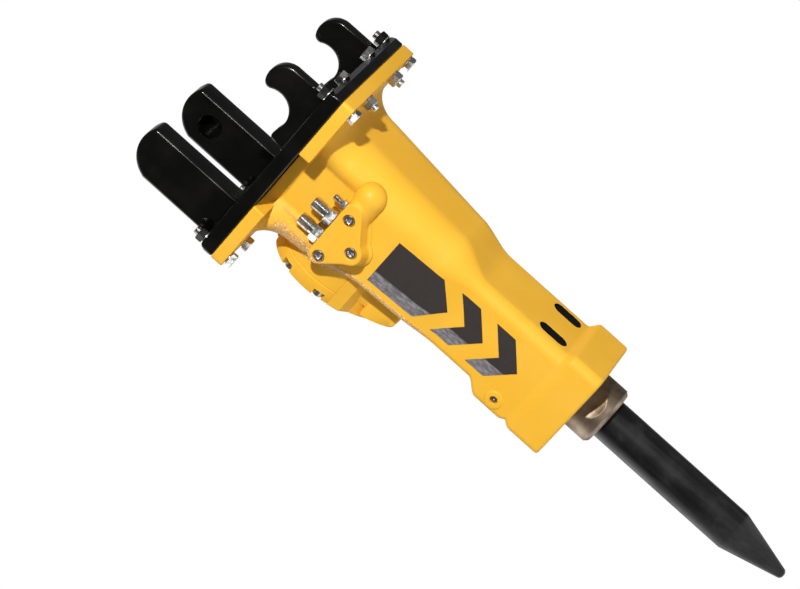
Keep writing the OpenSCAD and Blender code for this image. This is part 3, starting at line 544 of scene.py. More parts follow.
def section_ring(sizes):
    """Points round the rounded rectangle of each ring: a corner's arc, then a straight run to the next."""
    front, rear, half, fr, rr = (s[:, None] for s in sizes)
    corners = ((front - fr, half - fr, fr, 0, FRONT_CORNER_POINTS),
               (rr - rear, half - rr, rr, 90, REAR_CORNER_POINTS),
               (rr - rear, rr - half, rr, 180, REAR_CORNER_POINTS),
               (front - fr, fr - half, fr, 270, FRONT_CORNER_POINTS))
    rings = []
    for k, (cx, cy, r, start, count) in enumerate(corners):
        a = np.radians(start + np.linspace(0, 90, count))[None, :]
        rings.append(np.stack([cx + r * np.cos(a), cy + r * np.sin(a)], axis=-1))
        nx, ny, nr, nstart, _ = corners[(k + 1) % 4]
        b = math.radians(nstart)
        end = np.stack([nx + nr * math.cos(b), ny + nr * math.sin(b)], axis=-1)
        share = np.linspace(0, 1, SIDE_POINTS[k] + 2)[None, 1:-1, None]
        rings.append(mix(rings[-1][:, -1:, :], end, share))
    return np.concatenate(rings, axis=1)


def bore_cutter():
    """The stepped bore for the lower bush, the retainer and the tool's upper end."""
    start, step, end = FOOT_Z - 5, FOOT_Z + BUSH_SEAT_H, FOOT_Z + BORE_H
    rows = [(0, start), (BUSH_SEAT_R, start), (BUSH_SEAT_R, step), (BORE_R, step), (BORE_R, end), (0, end)]
    return turned("bore", rows, count=96)


def slot_cutter(side):
    """A slot with round ends for one retainer bar, cut in from the front."""
    r = SLOT_W / 2
    outline = np.concatenate([arc((side * SLOT_Y, SLOT_Z + SLOT_H / 2 - r), r, 0, 180, 17),
                              arc((side * SLOT_Y, SLOT_Z - SLOT_H / 2 + r), r, 180, 360, 17)])
    return slab("slot", outline, SLOT_FLOOR, FOOT_FRONT + 30, SHARP, (1, 2, 0))


def round_cutter(radius, depth, turn, at):
    """A drilled hole, its mouth chamfered by 1 mm."""
    wide, past = radius + 1, 60
    rows = [(0, -depth), (radius, -depth), (radius, -1), (wide, 0), (wide, past), (0, past)]
    return turned("drill", rows, turn, at, 32)


def make_body(paint):
    """The body's skin, found on rays from the tool axis and cut for bore, slots and pins."""
    z = body_rows()
    sizes = body_sizes(z)
    ring = section_ring(sizes)
    rows, count = ring.shape[:2]
    base = np.linalg.norm(ring, axis=-1)
    direction = np.concatenate([ring / base[..., None], np.zeros((rows, count, 1))], axis=-1)
    centre = np.zeros((rows, count, 3))
    centre[..., 2] = z[:, None]
    columns = [s[:, None] for s in sizes]
    points = cast_surface(lambda a, b, c: body_distance(a, b, c, columns), centre, direction,
                          base * SKIN_NEAR, base + SKIN_FAR)
    body = link_mesh("breaker_body", points.reshape(-1, 3), grid_faces(rows, count) + end_caps(rows, count))
    pin_mouth = (LOCK_PIN_X, -half_width(SLOT_Z), SLOT_Z)
    cutters = [bore_cutter(), slot_cutter(1), slot_cutter(-1),
               round_cutter(PIN_HOLE_R, PIN_HOLE_DEPTH, TO_HOSE_SIDE, pin_mouth)]
    for x in PLUGS_X:
        seat = (x, half_width(PLUG_Z) - PLUG_SINK, PLUG_Z)
        cutters.append(round_cutter(PLUG_SEAT_R, PLUG_SEAT_DEPTH, TO_FAR_SIDE, seat))
    carve(body, cutters)
    finish_piece(body, paint, replaces=["housing"], angle=40)


def make_flange(paint):
    """The flange with its open hose notch, as an outline with rounded edges."""
    notch = -POCKET_Y - 2
    corners = [(-PLATE_X, PLATE_Y), (-PLATE_X, -PLATE_Y), (-POCKET_HALF, -PLATE_Y), (-POCKET_HALF, notch),
               (POCKET_HALF, notch), (POCKET_HALF, -PLATE_Y), (PLATE_X, -PLATE_Y), (PLATE_X, PLATE_Y)]
    outline = rounded_outline(corners, [10, 10, 5, 8, 8, 5, 10, 10])
    flange = slab("body_flange", outline, -FLANGE_T, -FLANGE_GAP, FLANGE_EDGE, (0, 1, 2))
    finish_piece(flange, paint, angle=40)


# Port block

BLOCK_REAR = (-85, -166)
BLOCK_LOW = (-34, -219)
BLOCK_FRONT = (44, -166)
BLOCK_CORNER_R = 21
BLOCK_LOBE = (-32, -219)
BLOCK_LOBE_R = 25
BLOCK_SPREAD = 14
BLOCK_DEPTH = 47
BLOCK_FOOT = 5
BLOCK_FOOT_Y = -147
BLOCK_FOOT_RUN = 7
BLOCK_SEAT_Y = -118
NOSE_RUN = (-30, 81)
NOSE_Y = -135
NOSE_Z = -173
NOSE_R = 35
NOSE_LIFT = 7
NOSE_LIFT_RUN = (52, 78)
BLOCK_MIDDLE = (-5.0, -146.0, -182.0)
BLOCK_RINGS = 170
BLOCK_POINTS = 300
BLOCK_POLE = 0.004


def triangle_distance(px, pz, corners):
    """Distance from a triangle whose corners may move with the point's depth: the least gap to a side."""
    gaps, turns = [], []
    for i in range(3):
        ax, az = corners[i]
        bx, bz = corners[(i + 1) % 3]
        ex, ez = bx - ax, bz - az
        wx, wz = px - ax, pz - az
        t = np.clip((wx * ex + wz * ez) / (ex * ex + ez * ez), 0, 1)
        gaps.append(np.hypot(wx - ex * t, wz - ez * t))
        turns.append(ex * wz - ez * wx)
    gap = np.minimum.reduce(gaps)
    return np.where(np.minimum.reduce(turns) > 0, -gap, gap)


def block_distance(x, y, z):
    """The hose block: a wedge spreading to its seat, blended into a round nose, with a foot fillet."""
    spread = BLOCK_SPREAD * np.clip((y + BLOCK_FACE) / BLOCK_DEPTH, 0, 1.2)
    foot = BLOCK_FOOT * quarter_round((y - BLOCK_FOOT_Y) / BLOCK_FOOT_RUN)
    low = (BLOCK_LOW[0], BLOCK_LOW[1] - spread)
    front = (BLOCK_FRONT[0] + spread * 0.55, BLOCK_FRONT[1] - spread * 0.45)
    outline = triangle_distance(x, z, (BLOCK_REAR, low, front)) - BLOCK_CORNER_R - foot
    lobe = np.hypot(x - BLOCK_LOBE[0], z - BLOCK_LOBE[1] + spread) - BLOCK_LOBE_R - foot
    wedge = both(either(outline, lobe, 6), -BLOCK_FACE - y, 4)
    along = np.clip(x, *NOSE_RUN)
    nose = np.sqrt((x - along) ** 2 + (y - NOSE_Y) ** 2 + (z - NOSE_Z) ** 2) - NOSE_R
    whole = either(wedge, nose, 6)
    top = z - POCKET_Z - NOSE_LIFT * ramp(x, *NOSE_LIFT_RUN)
    return both(both(whole, top, 5), y - BLOCK_SEAT_Y, 2)


def make_block(paint):
    """The block's skin, found on rays from its middle, with the three screw pockets cut in."""
    polar, turn = np.meshgrid(np.linspace(BLOCK_POLE, math.pi - BLOCK_POLE, BLOCK_RINGS),
                              np.linspace(0, 2 * math.pi, BLOCK_POINTS, endpoint=False), indexing="ij")
    out = np.sin(polar)
    direction = np.stack([out * np.cos(turn), -np.cos(polar), out * np.sin(turn)], axis=-1)
    points = cast_surface(block_distance, np.array(BLOCK_MIDDLE), direction,
                          np.full(polar.shape, 6.0), np.full(polar.shape, 170.0))
    faces = grid_faces(BLOCK_RINGS, BLOCK_POINTS) + end_caps(BLOCK_RINGS, BLOCK_POINTS)
    block = link_mesh("hose_block", points.reshape(-1, 3), faces)
    carve(block, [round_cutter(COUNTERBORE_R, SCREW_SEAT, TO_HOSE_SIDE, (x, -BLOCK_FACE, z))
                  for x, z in BLOCK_SCREWS])
    finish_piece(block, paint, replaces=["port_block"], angle=50)


# Accumulator

LUG_CORNERS = ((-108, -251), (-96, -279), (-70, -296), (-54, -317))
LUG_ROWS = 211
LUG_GAP = 0.6
LUG_EDGE = 1.5
LUG_ROOT = -100
LID_SCREWS = 8
LID_SCREW_START = -106
LID_POCKET_HALF = 14
LID_POCKET_OUT = 40
LID_POCKET_R = 5


def make_drum(paint):
    """The turned land of the drum, with a small chamfer at its joint face."""
    face = ACC_FACE - DRUM_START
    rows = [(0, 0), (ACC_R, 0), (ACC_R, face - DRUM_CHAMFER), (ACC_R - DRUM_CHAMFER, face), (0, face)]
    drum = turned("accumulator_drum", rows, TO_REAR, (-DRUM_START, 0, ACC_Z), 160)
    finish_piece(drum, paint, angle=30)


def make_lug(paint):
    """The crescent of casting under the cover's rim: a section from rim to outline, carried round it."""
    near = np.array(LUG_CORNERS, float)
    corners = np.concatenate([near, near[::-1] * (-1, 1)]) - (0, ACC_Z)
    share = np.linspace(0, len(corners) - 1, LUG_ROWS)
    outer = np.stack([np.interp(share, np.arange(len(corners)), corners[:, k]) for k in (0, 1)], axis=-1)
    reach = np.linalg.norm(outer, axis=-1)[:, None]
    rim = np.full_like(reach, ACC_R + LUG_GAP)
    radius = np.concatenate([rim, np.maximum(reach - LUG_EDGE, rim + 0.1), reach, reach, rim], axis=1)
    end = LUG_EDGE - ACC_END
    x = np.broadcast_to([end, end, end + LUG_EDGE, LUG_ROOT, LUG_ROOT], radius.shape)
    out = outer / reach
    points = np.stack([x, out[:, :1] * radius, out[:, 1:] * radius + ACC_Z], axis=-1)
    rows, count = radius.shape
    lug = link_mesh("accumulator_lug", points.reshape(-1, 3), grid_faces(rows, count) + end_caps(rows, count))
    finish_piece(lug, paint, angle=40)


def lid_screw_places():
    """Angle, y and z of each cover screw, the first below the near side."""
    angle = np.radians(LID_SCREW_START + np.arange(LID_SCREWS) * 360 / LID_SCREWS)
    radius = ACC_R - COUNTERBORE_R - 2
    return [(a, radius * math.sin(a), ACC_Z + radius * math.cos(a)) for a in angle]


def make_cover(paint):
    """The drum's cover, turned with soft edges, with a square pocket at the rim for each screw."""
    rows = [(0, 0), (ACC_R - 2, 0), (ACC_R, 2), (ACC_R, LID_T - 7), (ACC_R - 2, LID_T - 2.5)]
    rows += [(ACC_R - 7, LID_T), (86, LID_T), (80, LID_T - 3), (30, LID_T - 3), (26, LID_T - 1.5),
             (0, LID_T - 1.5)]
    cover = turned("accumulator_lid", rows, TO_REAR, (-ACC_FACE - LID_GAP, 0, ACC_Z), 128)
    cutters = []
    for a, y, z in lid_screw_places():
        out = np.array([math.sin(a), math.cos(a)])
        side = np.array([-out[1], out[0]]) * LID_POCKET_HALF
        inner = np.array([y, z]) - out * LID_POCKET_HALF
        outer = np.array([y, z]) + out * LID_POCKET_OUT
        corners = [outer - side, outer + side, inner + side, inner - side]
        outline = rounded_outline(corners, [LID_POCKET_R] * 4, 5)
        cutters.append(slab("pocket", outline, -ACC_END - 20, SCREW_SEAT - ACC_END, SHARP, (1, 2, 0)))
    carve(cover, cutters)
    finish_piece(cover, paint, replaces=["accumulator_cover"], angle=30)


# Bracket

WINDOW_HALF = 80
WINDOW_Y = (-130, -192)
HOOK_BASE = 33.2
HOOK_FEET = {"front": (49, 208), "rear": (-229, -118)}
HOOK_SPANS = {"front": (150, 180), "rear": (110, 170)}
HOOK_EDGES = {"front": 7, "rear": 9}
HOOK_HOLE = (-173.5, 198)
HOOK_HOLE_R = 27
HOOK_HOLE_DEPTH = 45
WELD_R = 5.5
WELD_SIDES = 14
WELD_STEP = 1.5
WELD_RIPPLE = 6
WELD_DRIFT = 41


def bend_plate(points):
    """Draws the plate's ends in, point by point, by as much as it stands above the chamfer's start."""
    limit = PLATE_X - np.maximum(points[:, 2] - (PLATE_TOP - PLATE_CHAMFER), 0)
    points[:, 0] = np.clip(points[:, 0], -limit, limit)
    return points


def make_plate(paint):
    """The bracket plate: rounded edges, long chamfers at both ends and the hose window."""
    corners = [(-PLATE_X, PLATE_Y), (-PLATE_X, -PLATE_Y), (PLATE_X, -PLATE_Y), (PLATE_X, PLATE_Y)]
    outline = rounded_outline(corners, [12] * 4)
    bend = PLATE_TOP - PLATE_CHAMFER
    plate = slab("bracket_base", outline, 0, PLATE_TOP, 5, (0, 1, 2), (bend,), bend_plate)
    inner, outer = WINDOW_Y
    corners = [(-WINDOW_HALF, inner), (-WINDOW_HALF, outer), (WINDOW_HALF, outer), (WINDOW_HALF, inner)]
    carve(plate, [slab("window", rounded_outline(corners, [10] * 4), -20, 80, SHARP, (0, 1, 2))])
    finish_piece(plate, paint, replaces=["bracket_plate"], angle=30)


def front_hook_outline():
    """Foot, round top, blunt lip and saddle of a front hook, drawn anticlockwise in x and z.

    The lip is a circle that touches the top's circle from inside and the saddle's from outside.
    """
    saddle, saddle_r, saddle_end = np.array([96.0, 112.0]), 46, -112
    top, top_r = np.array([163.0, 116.0]), 45
    heel, heel_x, behind = 72, HOOK_FEET["front"][0], 60
    lip_start = 118
    toward = np.array([math.cos(math.radians(lip_start)), math.sin(math.radians(lip_start))])
    gap = top - saddle
    across = gap @ toward
    lip_r = (gap @ gap + 2 * top_r * across + top_r ** 2 - saddle_r ** 2) / (2 * (across + top_r + saddle_r))
    lip = top + (top_r - lip_r) * toward
    touch = math.degrees(math.atan2(*(lip - saddle)[::-1]))
    over = arc(top, top_r, 0, lip_start, 40)
    tip = arc(lip, lip_r, lip_start, 180 + touch, 16)[1:]
    inside = arc(saddle, saddle_r, touch, saddle_end, 44)[1:]
    back = rounded_outline([(heel_x + behind, heel), (heel_x, heel), (heel_x, HOOK_BASE),
                            (heel_x + behind, HOOK_BASE)], [1, 12, 1, 1], 7)
    foot = [(heel_x, HOOK_BASE), (top[0] + top_r, HOOK_BASE)]
    return np.concatenate([foot, over, tip, inside, back[7:14]])


def rear_hook_outline():
    """Upright block with a round top, drawn anticlockwise in x and z."""
    centre, radius = (-158, 203), 73
    back, front = HOOK_FEET["rear"]
    over = arc(centre, radius, 64, 160, 44)
    corners = [(front, HOOK_BASE), (front, 264), tuple(over[0]), (front - 40, HOOK_BASE)]
    nose = rounded_outline(corners, [1, 14, 1, 1], 9)[9:18]
    tail = np.array([(back, 222), (back, HOOK_BASE)])
    return np.concatenate([[(front, HOOK_BASE)], nose, over, tail])


def hook_places():
    """End, side, lowest and highest y of each of the four hooks."""
    places = []
    for end, (inner, outer) in HOOK_SPANS.items():
        places.append((end, "near", -outer, -inner))
        places.append((end, "far", inner, outer))
    return places


def make_hooks(paint):
    """Four hooks, each an outline carried across its thickness with well rounded edges."""
    for end, side, low, high in hook_places():
        node = "%s_hook_%s" % (end, side)
        outline = front_hook_outline() if end == "front" else rear_hook_outline()
        hook = slab(node + "_casting", outline, low, high, HOOK_EDGES[end], (0, 2, 1))
        if end == "rear":
            turn, inner = (TO_FAR_SIDE, high) if side == "near" else (TO_HOSE_SIDE, low)
            hole = (HOOK_HOLE[0], inner, HOOK_HOLE[1])
            carve(hook, [round_cutter(HOOK_HOLE_R, HOOK_HOLE_DEPTH, turn, hole)])
        finish_piece(hook, paint, replaces=[node], angle=40)


def weld_bead(name, path, paint):
    """A ripple weld: a tube along a closed path whose radius pulses with the distance run.

    The radius is WELD_R times 1 plus a tenth of one sine of the run and a twentieth of a slower one.
    """
    step = np.linalg.norm(np.roll(path, -1, axis=0) - path, axis=1)
    run = np.concatenate([[0], np.cumsum(step)])
    closed = np.concatenate([path, path[:1]])
    count = int(run[-1] / WELD_STEP)
    s = np.arange(count) * run[-1] / count
    line = np.stack([np.interp(s, run, closed[:, k]) for k in range(2)], axis=-1)
    out = outline_normals(line)
    ripple = 0.10 * np.sin(2 * math.pi * s / WELD_RIPPLE)
    drift = 0.05 * np.sin(2 * math.pi * s / WELD_DRIFT)
    swell = WELD_R * (1 + ripple + drift)
    angle = np.linspace(0, 2 * math.pi, WELD_SIDES, endpoint=False)
    points = np.zeros((count, WELD_SIDES, 3))
    points[..., :2] = line[:, None, :] + out[:, None, :] * (swell[:, None] * np.cos(angle))[..., None]
    points[..., 2] = PLATE_T + swell[:, None] * np.sin(angle)
    here = np.arange(WELD_SIDES)
    beside = np.roll(here, -1)
    last = (count - 1) * WELD_SIDES
    closing = np.stack([last + here, last + beside, beside, here], axis=-1)
    bead = link_mesh(name, points.reshape(-1, 3), grid_faces(count, WELD_SIDES) + closing.tolist())
    finish_piece(bead, paint)


def make_welds(paint):
    """A weld bead round the foot of each hook."""
    for end, side, low, high in hook_places():
        back, front = HOOK_FEET[end]
        path = rounded_outline([(back, low), (front, low), (front, high), (back, high)], [6] * 4)
        weld_bead("weld_%s_%s" % (end, side), path, paint)


# Fasteners

BOLT_X = 221.5
BOLT_Y_OUTER = 190
BOLT_Y_INNER = 87
WASHER_T = 3
WASHER_R = 17
WASHER_EDGE = 0.5
BOLT_R = 10
BOLT_AF = 30
BOLT_PITCH = 2.5
NUT_H = 16
HEAD_H = 12.5
STUD_END = 10
THREAD_POINTS = 40
THREAD_DEPTH = 0.55
THREAD_ROWS = 7
THREAD_CHAMFER = 1.8
HEX_RISE = 0.3
HEX_DIP = -0.58

# Name, CAD node, x, nose diameter, height, height of the hexagon and bore radius of each adapter
FITTINGS = (("pressure_adapter", "pressure_fitting", -55, 31, 58, 20, 9),
            ("return_adapter", "return_fitting", -5, 31, 58, 20, 9),
            ("lube_adapter", "lube_fitting", 37, 16, 32, 10, 3))
FITTING_GROOVE = 2.0
GAS_CAP_POINTS = 96
GAS_CAP_RIDGES = 32


def hexagon(name, height, turn, at):
    """A bolt head or nut: a hexagon with both ends chamfered, from its seat to its top."""
    r = BOLT_AF / 2
    rows = [(0, 0), (r * 0.94, 0), (r, 0.6, 1, HEX_RISE), (r, height - 0.6, 1, HEX_DIP), (r * 0.95, height),
            (0, height)]
    return turned(name, rows, turn, at, 72)


def threaded_stud(low, high, turn, at):
    """A bolt's threaded shank between two heights.

    The radius falls and rises once in each pitch, by the height less the angle's share of the pitch, and
    is drawn in towards the upper end.
    """
    rows = int((high - low) / (BOLT_PITCH / THREAD_ROWS)) + 1
    z = np.concatenate([[low], np.linspace(low, high, rows), [high]])[:, None]
    angle = np.linspace(0, 2 * math.pi, THREAD_POINTS, endpoint=False)[None, :]
    phase = (z / BOLT_PITCH - angle / (2 * math.pi)) % 1.0
    r = BOLT_R - BOLT_PITCH * THREAD_DEPTH * (1 - np.abs(2 * phase - 1))
    end = np.clip((high - z) / THREAD_CHAMFER, 0, 1)
    r = np.minimum(r, BOLT_R - THREAD_CHAMFER * (1 - end))
    r[[0, -1]] = 0
    points = np.stack([r * np.cos(angle), r * np.sin(angle), np.broadcast_to(z, r.shape)], axis=-1)
    return link_mesh("stud", placed(points, turn, at), grid_faces(len(z), THREAD_POINTS))


def make_flange_fasteners(zinc, black):
    """Bolts, nuts and washers of the flange; the two front inner bolts are put in from above."""
    plain = [(x, y) for x in (-BOLT_X, BOLT_X) for y in (-BOLT_Y_OUTER, BOLT_Y_OUTER)]
    plain += [(-BOLT_X, y) for y in (-BOLT_Y_INNER, BOLT_Y_INNER)]
    crossed = [(BOLT_X, y) for y in (-BOLT_Y_INNER, BOLT_Y_INNER)]
    under, above = -FLANGE_T - WASHER_T, PLATE_T + WASHER_T
    past = NUT_H + STUD_END
    bolts, nuts, cross_bolts, cross_nuts, washers = [], [], [], [], []
    for i, (x, y) in enumerate(plain):
        twist = Matrix.Rotation(0.9 * i + 0.2, 4, "Z")
        bolts.append(hexagon("head", HEAD_H, twist @ UPSIDE_DOWN, (x, y, under)))
        bolts.append(threaded_stud(under, above + past, None, (x, y, 0)))
        nuts.append(hexagon("nut", NUT_H, twist, (x, y, above)))
    for i, (x, y) in enumerate(crossed):
        twist = Matrix.Rotation(1.3 * i + 0.5, 4, "Z")
        cross_bolts.append(hexagon("head", HEAD_H, twist, (x, y, above)))
        cross_bolts.append(threaded_stud(-above, -under + past, UPSIDE_DOWN, (x, y, 0)))
        cross_nuts.append(hexagon("nut", NUT_H, twist @ UPSIDE_DOWN, (x, y, under)))
    for x, y in plain + crossed:
        for z in (under, PLATE_T):
            rows = ring_profile(WASHER_R, BOLT_R, z, z + WASHER_T, WASHER_EDGE)
            washers.append(turned("washer", rows, None, (x, y, 0), 48))
    finish_piece(join(bolts, "hex_bolts"), zinc, replaces=["flange_bolts"], angle=28)
    finish_piece(join(nuts, "hex_nuts"), black, replaces=["flange_nuts"], angle=28)
    finish_piece(join(cross_bolts, "crossed_hex_bolts"), zinc, replaces=["crossed_bolts"], angle=28)
    finish_piece(join(cross_nuts, "crossed_hex_nuts"), zinc, replaces=["crossed_nuts"], angle=28)
    finish_piece(join(washers, "plain_washers"), zinc, replaces=["flange_washers"], angle=28)


def socket_screw(turn, at):
    """A socket head screw with a chamfered rim and a hexagon socket, its seat at the given place."""
    r, h, key = SCREW_HEAD_R, SCREW_HEAD_H, SCREW_AF / 2
    shank = [(0, -SCREW_SHANK), (SCREW_R - 0.8, -SCREW_SHANK), (SCREW_R, -SCREW_SHANK + 1), (SCREW_R, 0)]
    head = [(r, 0), (r, h - 1.2), (r - 1.2, h), (key + 0.7, h)]
    socket = [(key, h - 0.7, 1), (key, h / 2, 1), (0, h / 2 - 2)]
    return turned("screw", shank + head + socket, turn, at, 60)


def make_socket_screws(zinc):
    """The hose block's three screws and the eight of the accumulator cover."""
    block = [socket_screw(TO_HOSE_SIDE, (x, SCREW_SEAT - BLOCK_FACE, z)) for x, z in BLOCK_SCREWS]
    finish_piece(join(block, "block_screws"), zinc, replaces=["port_block_screws"], angle=28)
    lid = [socket_screw(TO_REAR, (SCREW_SEAT - ACC_END, y, z)) for _, y, z in lid_screw_places()]
    finish_piece(join(lid, "lid_screws"), zinc, replaces=["accumulator_screws"], angle=28)


def make_plugs(steel):
    """The two plugs of the gallery on the far side: a hexagon with a hexagon socket."""
    rows = [(0, -18), (8, -18), (8, 0), (11.3, 0), (12, 0.8, 1), (12, 9.4, 1, HEX_DIP), (11.4, 10), (6.6, 10),
            (6, 9.5, 1), (6, 5, 1), (0, 4)]
    y = half_width(PLUG_Z) - PLUG_SINK
    plugs = [turned("plug", rows, TO_FAR_SIDE, (x, y, PLUG_Z), 60) for x in PLUGS_X]
    plugs = join(plugs, "gallery_screw_plugs")
    finish_piece(plugs, steel, replaces=["gallery_plugs"], angle=28)


def fitting_rows(nose, height, flats, bore):
    """A hose adapter's profile: hexagon, neck, grooved nose and an open mouth with the bore closed inside.

    The nose's radius falls and rises as a cosine of the height, once every FITTING_GROOVE.
    """
    r, af = nose / 2, nose * 0.625
    start, end = flats + 8, height - 1.5
    turns = np.linspace(start, end, int((end - start) / 0.5) + 1)
    ridge = r - 0.5 * (1 - np.cos(2 * math.pi * turns / FITTING_GROOVE)) * 0.9
    seat = [(0, -4), (r * 0.8, -4), (r * 0.8, 0), (af * 0.95, 0), (af, 0.8, 1, HEX_RISE)]
    neck = [(af, flats - 0.8, 1, HEX_DIP), (af * 0.95, flats), (r * 0.86, flats + 1), (r * 0.86, flats + 7),
            (r * 0.95, start)]
    mouth = [(r - 1.5, height), (bore + 1.2, height), (bore, height - 1.2), (bore, 2), (0, 2)]
    return seat + neck + list(zip(ridge, turns)) + mouth


def make_fittings(chrome):
    """The three hose adapters, standing up from the top of the block."""
    for name, node, x, nose, height, flats, bore in FITTINGS:
        low, high = seen(node)
        at = (x, (low[1] + high[1]) / 2, POCKET_Z)
        piece = turned(name, fitting_rows(nose, height, flats, bore), None, at, 72)
        finish_piece(piece, chrome, replaces=[node], angle=28)


def make_gas_valve(zinc, dark):
    """The gas valve's hexagon at the middle of the cover, and its cap with a knurled rim.

    The cap's radius falls and rises as a cosine of the angle, GAS_CAP_RIDGES times round.
    """
    rows = [(0, -6), (15, -6), (15, 0), (16, 0), (17, 0.8, 1, HEX_RISE), (17, 9.2, 1, HEX_DIP), (16, 10),
            (0, 10)]
    valve = turned("gas_valve_body", rows, TO_REAR, (-ACC_END, 0, ACC_Z), 72)
    finish_piece(valve, zinc, replaces=["gas_valve"], angle=28)
    z = np.concatenate([[0.1, 0.1], np.linspace(1.2, 12.5, 12), [14, 14]])[:, None]
    angle = np.linspace(0, 2 * math.pi, GAS_CAP_POINTS, endpoint=False)
    r = np.tile(11 - 0.35 * (1 + np.cos(angle * GAS_CAP_RIDGES)), (len(z), 1))
    r[[0, -1]] = 0
    r[1] = 10
    r[-2] = 9.6
    points = np.stack([r * np.cos(angle), r * np.sin(angle), np.broadcast_to(z, r.shape)], axis=-1)
    points = placed(points, TO_REAR, (-ACC_END - 10, 0, ACC_Z))
    cap = link_mesh("gas_cap", points, grid_faces(len(z), GAS_CAP_POINTS))
    finish_piece(cap, dark, replaces=["gas_valve_cap"], angle=40)


# Tool, bush and pins

TIP_R = 10
TIP_TURN = 78
CONE_H = 145
TOOL_FLAT = 6
TOOL_FLAT_BELOW = 56
BUSH_BORE = 48
BUSH_FLAT = 8
BUSH_FLAT_TURN = math.radians(-62)
RUN_OUT_TOP = 20
RUN_OUT_H = 22


def make_tool(steel):
    """The moil point: a turned bar with a blunt rounded tip, a soft cone edge and two retaining flats.

    The tip is part of a flattened circle, the cone a straight line to the bar's radius, and the flats hold
    y within the radius less TOOL_FLAT.
    """
    low, high = seen("tool")
    r = (high[0] - low[0]) / 2
    tip, cone, top = low[2], low[2] + CONE_H, high[2]
    nose = [(TIP_R * math.sin(t) * 1.02, tip + TIP_R * 0.55 * (1 - math.cos(t)))
            for t in np.radians(np.linspace(0, TIP_TURN, 12))]
    slope = (r - TIP_R) / (cone - tip)
    rows = nose + [(TIP_R + (z - tip) * slope, z) for z in np.linspace(tip + 5.5, cone - 3, 30)]
    rows += [(r - 0.35, cone - 0.6), (r, cone + 2)]
    rows += [(r, z) for z in np.linspace(cone + 6, top - 4, 130)] + [(r - 4, top), (0, top)]
    tool = turned("moil_point", rows, count=128)
    points = read_points(tool)
    z = (points[:, 2] - AXIS[2]) / MM
    flat = (z > SLOT_Z - SLOT_H / 2 - TOOL_FLAT_BELOW) & (z < SLOT_Z + SLOT_H / 2 + 0.3)
    limit = (r - TOOL_FLAT) * MM
    points[:, 1] = np.where(flat, np.clip(points[:, 1], -limit, limit), points[:, 1])
    write_points(tool, points)
    finish_piece(tool, steel, "tool", ["tool"], 30)


def make_bush(steel):
    """The lower bush: turned collar with a chamfer, milled flat on one side with a round run-out.

    The flat's depth is BUSH_FLAT times 1 less the square of the share run below RUN_OUT_TOP.
    """
    low, high = seen("lower_bush")
    r, bottom, top = high[0], low[2], high[2]
    inner = (BUSH_BORE, bottom + 3)
    rows = [inner, (BUSH_BORE + 3, bottom), (r - 8, bottom), (r - 7.2, bottom + 0.3), (r - 0.6, bottom + 7.4),
            (r, bottom + 9)]
    rows += [(r, z) for z in np.linspace(bottom + 12, FOOT_Z - 0.5, 36)]
    rows += [(r, FOOT_Z), (r, top), (BUSH_BORE, top), inner]
    bush = turned("bush_collar", rows, count=160)
    points = read_points(bush)
    x, y, z = ((points - AXIS) / MM).T
    flat_x, flat_y = math.cos(BUSH_FLAT_TURN), math.sin(BUSH_FLAT_TURN)
    run_out = np.clip((FOOT_Z - RUN_OUT_TOP - z) / RUN_OUT_H, 0, 1)
    depth = np.where(z < FOOT_Z - 0.2, BUSH_FLAT * (1 - run_out ** 2), 0)
    past = np.maximum(x * flat_x + y * flat_y - (r - depth), 0)
    points[:, 0] -= past * flat_x * MM
    points[:, 1] -= past * flat_y * MM
    write_points(bush, points)
    finish_piece(bush, steel, "bush", ["lower_bush"], 30)


def make_pin_boss(paint):
    """A low cast ring round the mouth of the lock pin's hole."""
    bore, root, outer = LOCK_PIN_R + 0.8, -8, 22.4
    rows = [(bore, root), (bore, 0.8), (10, 2.4), (17.5, 2.4), (20, 1.9), (21.6, 0.6), (outer, -1),
            (outer, root), (bore, root)]
    boss = turned("pin_boss", rows, TO_HOSE_SIDE, (LOCK_PIN_X, -half_width(SLOT_Z), SLOT_Z), 64)
    finish_piece(boss, paint, angle=50)


def make_lock_pin(steel):
    """The end of the retainer's lock pin in its cup, with a chamfered rim and a drilled centre."""
    r, end = LOCK_PIN_R, -180
    rows = [(0, end), (r, end), (r, -1.2), (r - 1.2, 0), (2.2, 0), (0, -2.2)]
    at = (LOCK_PIN_X, LOCK_PIN_SINK - half_width(SLOT_Z), SLOT_Z)
    pin = turned("retainer_pin", rows, TO_HOSE_SIDE, at, 40)
    finish_piece(pin, steel, replaces=["retainer_lock_pin"], angle=28)


# Stickers

STICKER_PROUD = 0.35
STICKER_FILM = 0.0006
STICKER_X = -12
STICKER_HALF = 58
PANEL_TOP = -281
PANEL_SIDE = -404
PANEL_POINT = -454
CHEVRONS_Z = (-450.5, -548.5)
CHEVRON_DROP = 51
CHEVRON_H = 52


def sticker_edge(corners):
    """A line through corners (x, z), with twelve points to each run."""
    corners = np.array(corners, float)
    runs = len(corners) - 1
    t = np.linspace(0, runs, 12 * runs + 1)
    return np.stack([np.interp(t, np.arange(runs + 1), corners[:, k]) for k in range(2)], axis=-1)


def sticker(name, left, right, vinyl):
    """A vinyl strip between two edge lines, each a list of (x, z), laid on the near face of the body."""
    share = np.linspace(0, 1, 24)[None, :, None]
    flat = mix(sticker_edge(left)[:, None, :], sticker_edge(right)[:, None, :], share)
    half = body_sizes(flat[..., 1].ravel())[2].reshape(flat.shape[:2])
    points = np.stack([flat[..., 0], -half - STICKER_PROUD, flat[..., 1]], axis=-1)
    faces = grid_faces(*flat.shape[:2], wrap=False)
    film = link_mesh(name, points.reshape(-1, 3), faces, recalc=False)
    wall = film.modifiers.new("film", "SOLIDIFY")
    wall.thickness = STICKER_FILM
    wall.offset = 0
    apply_modifiers(film)
    clean(film.data)
    finish_piece(film, vinyl)


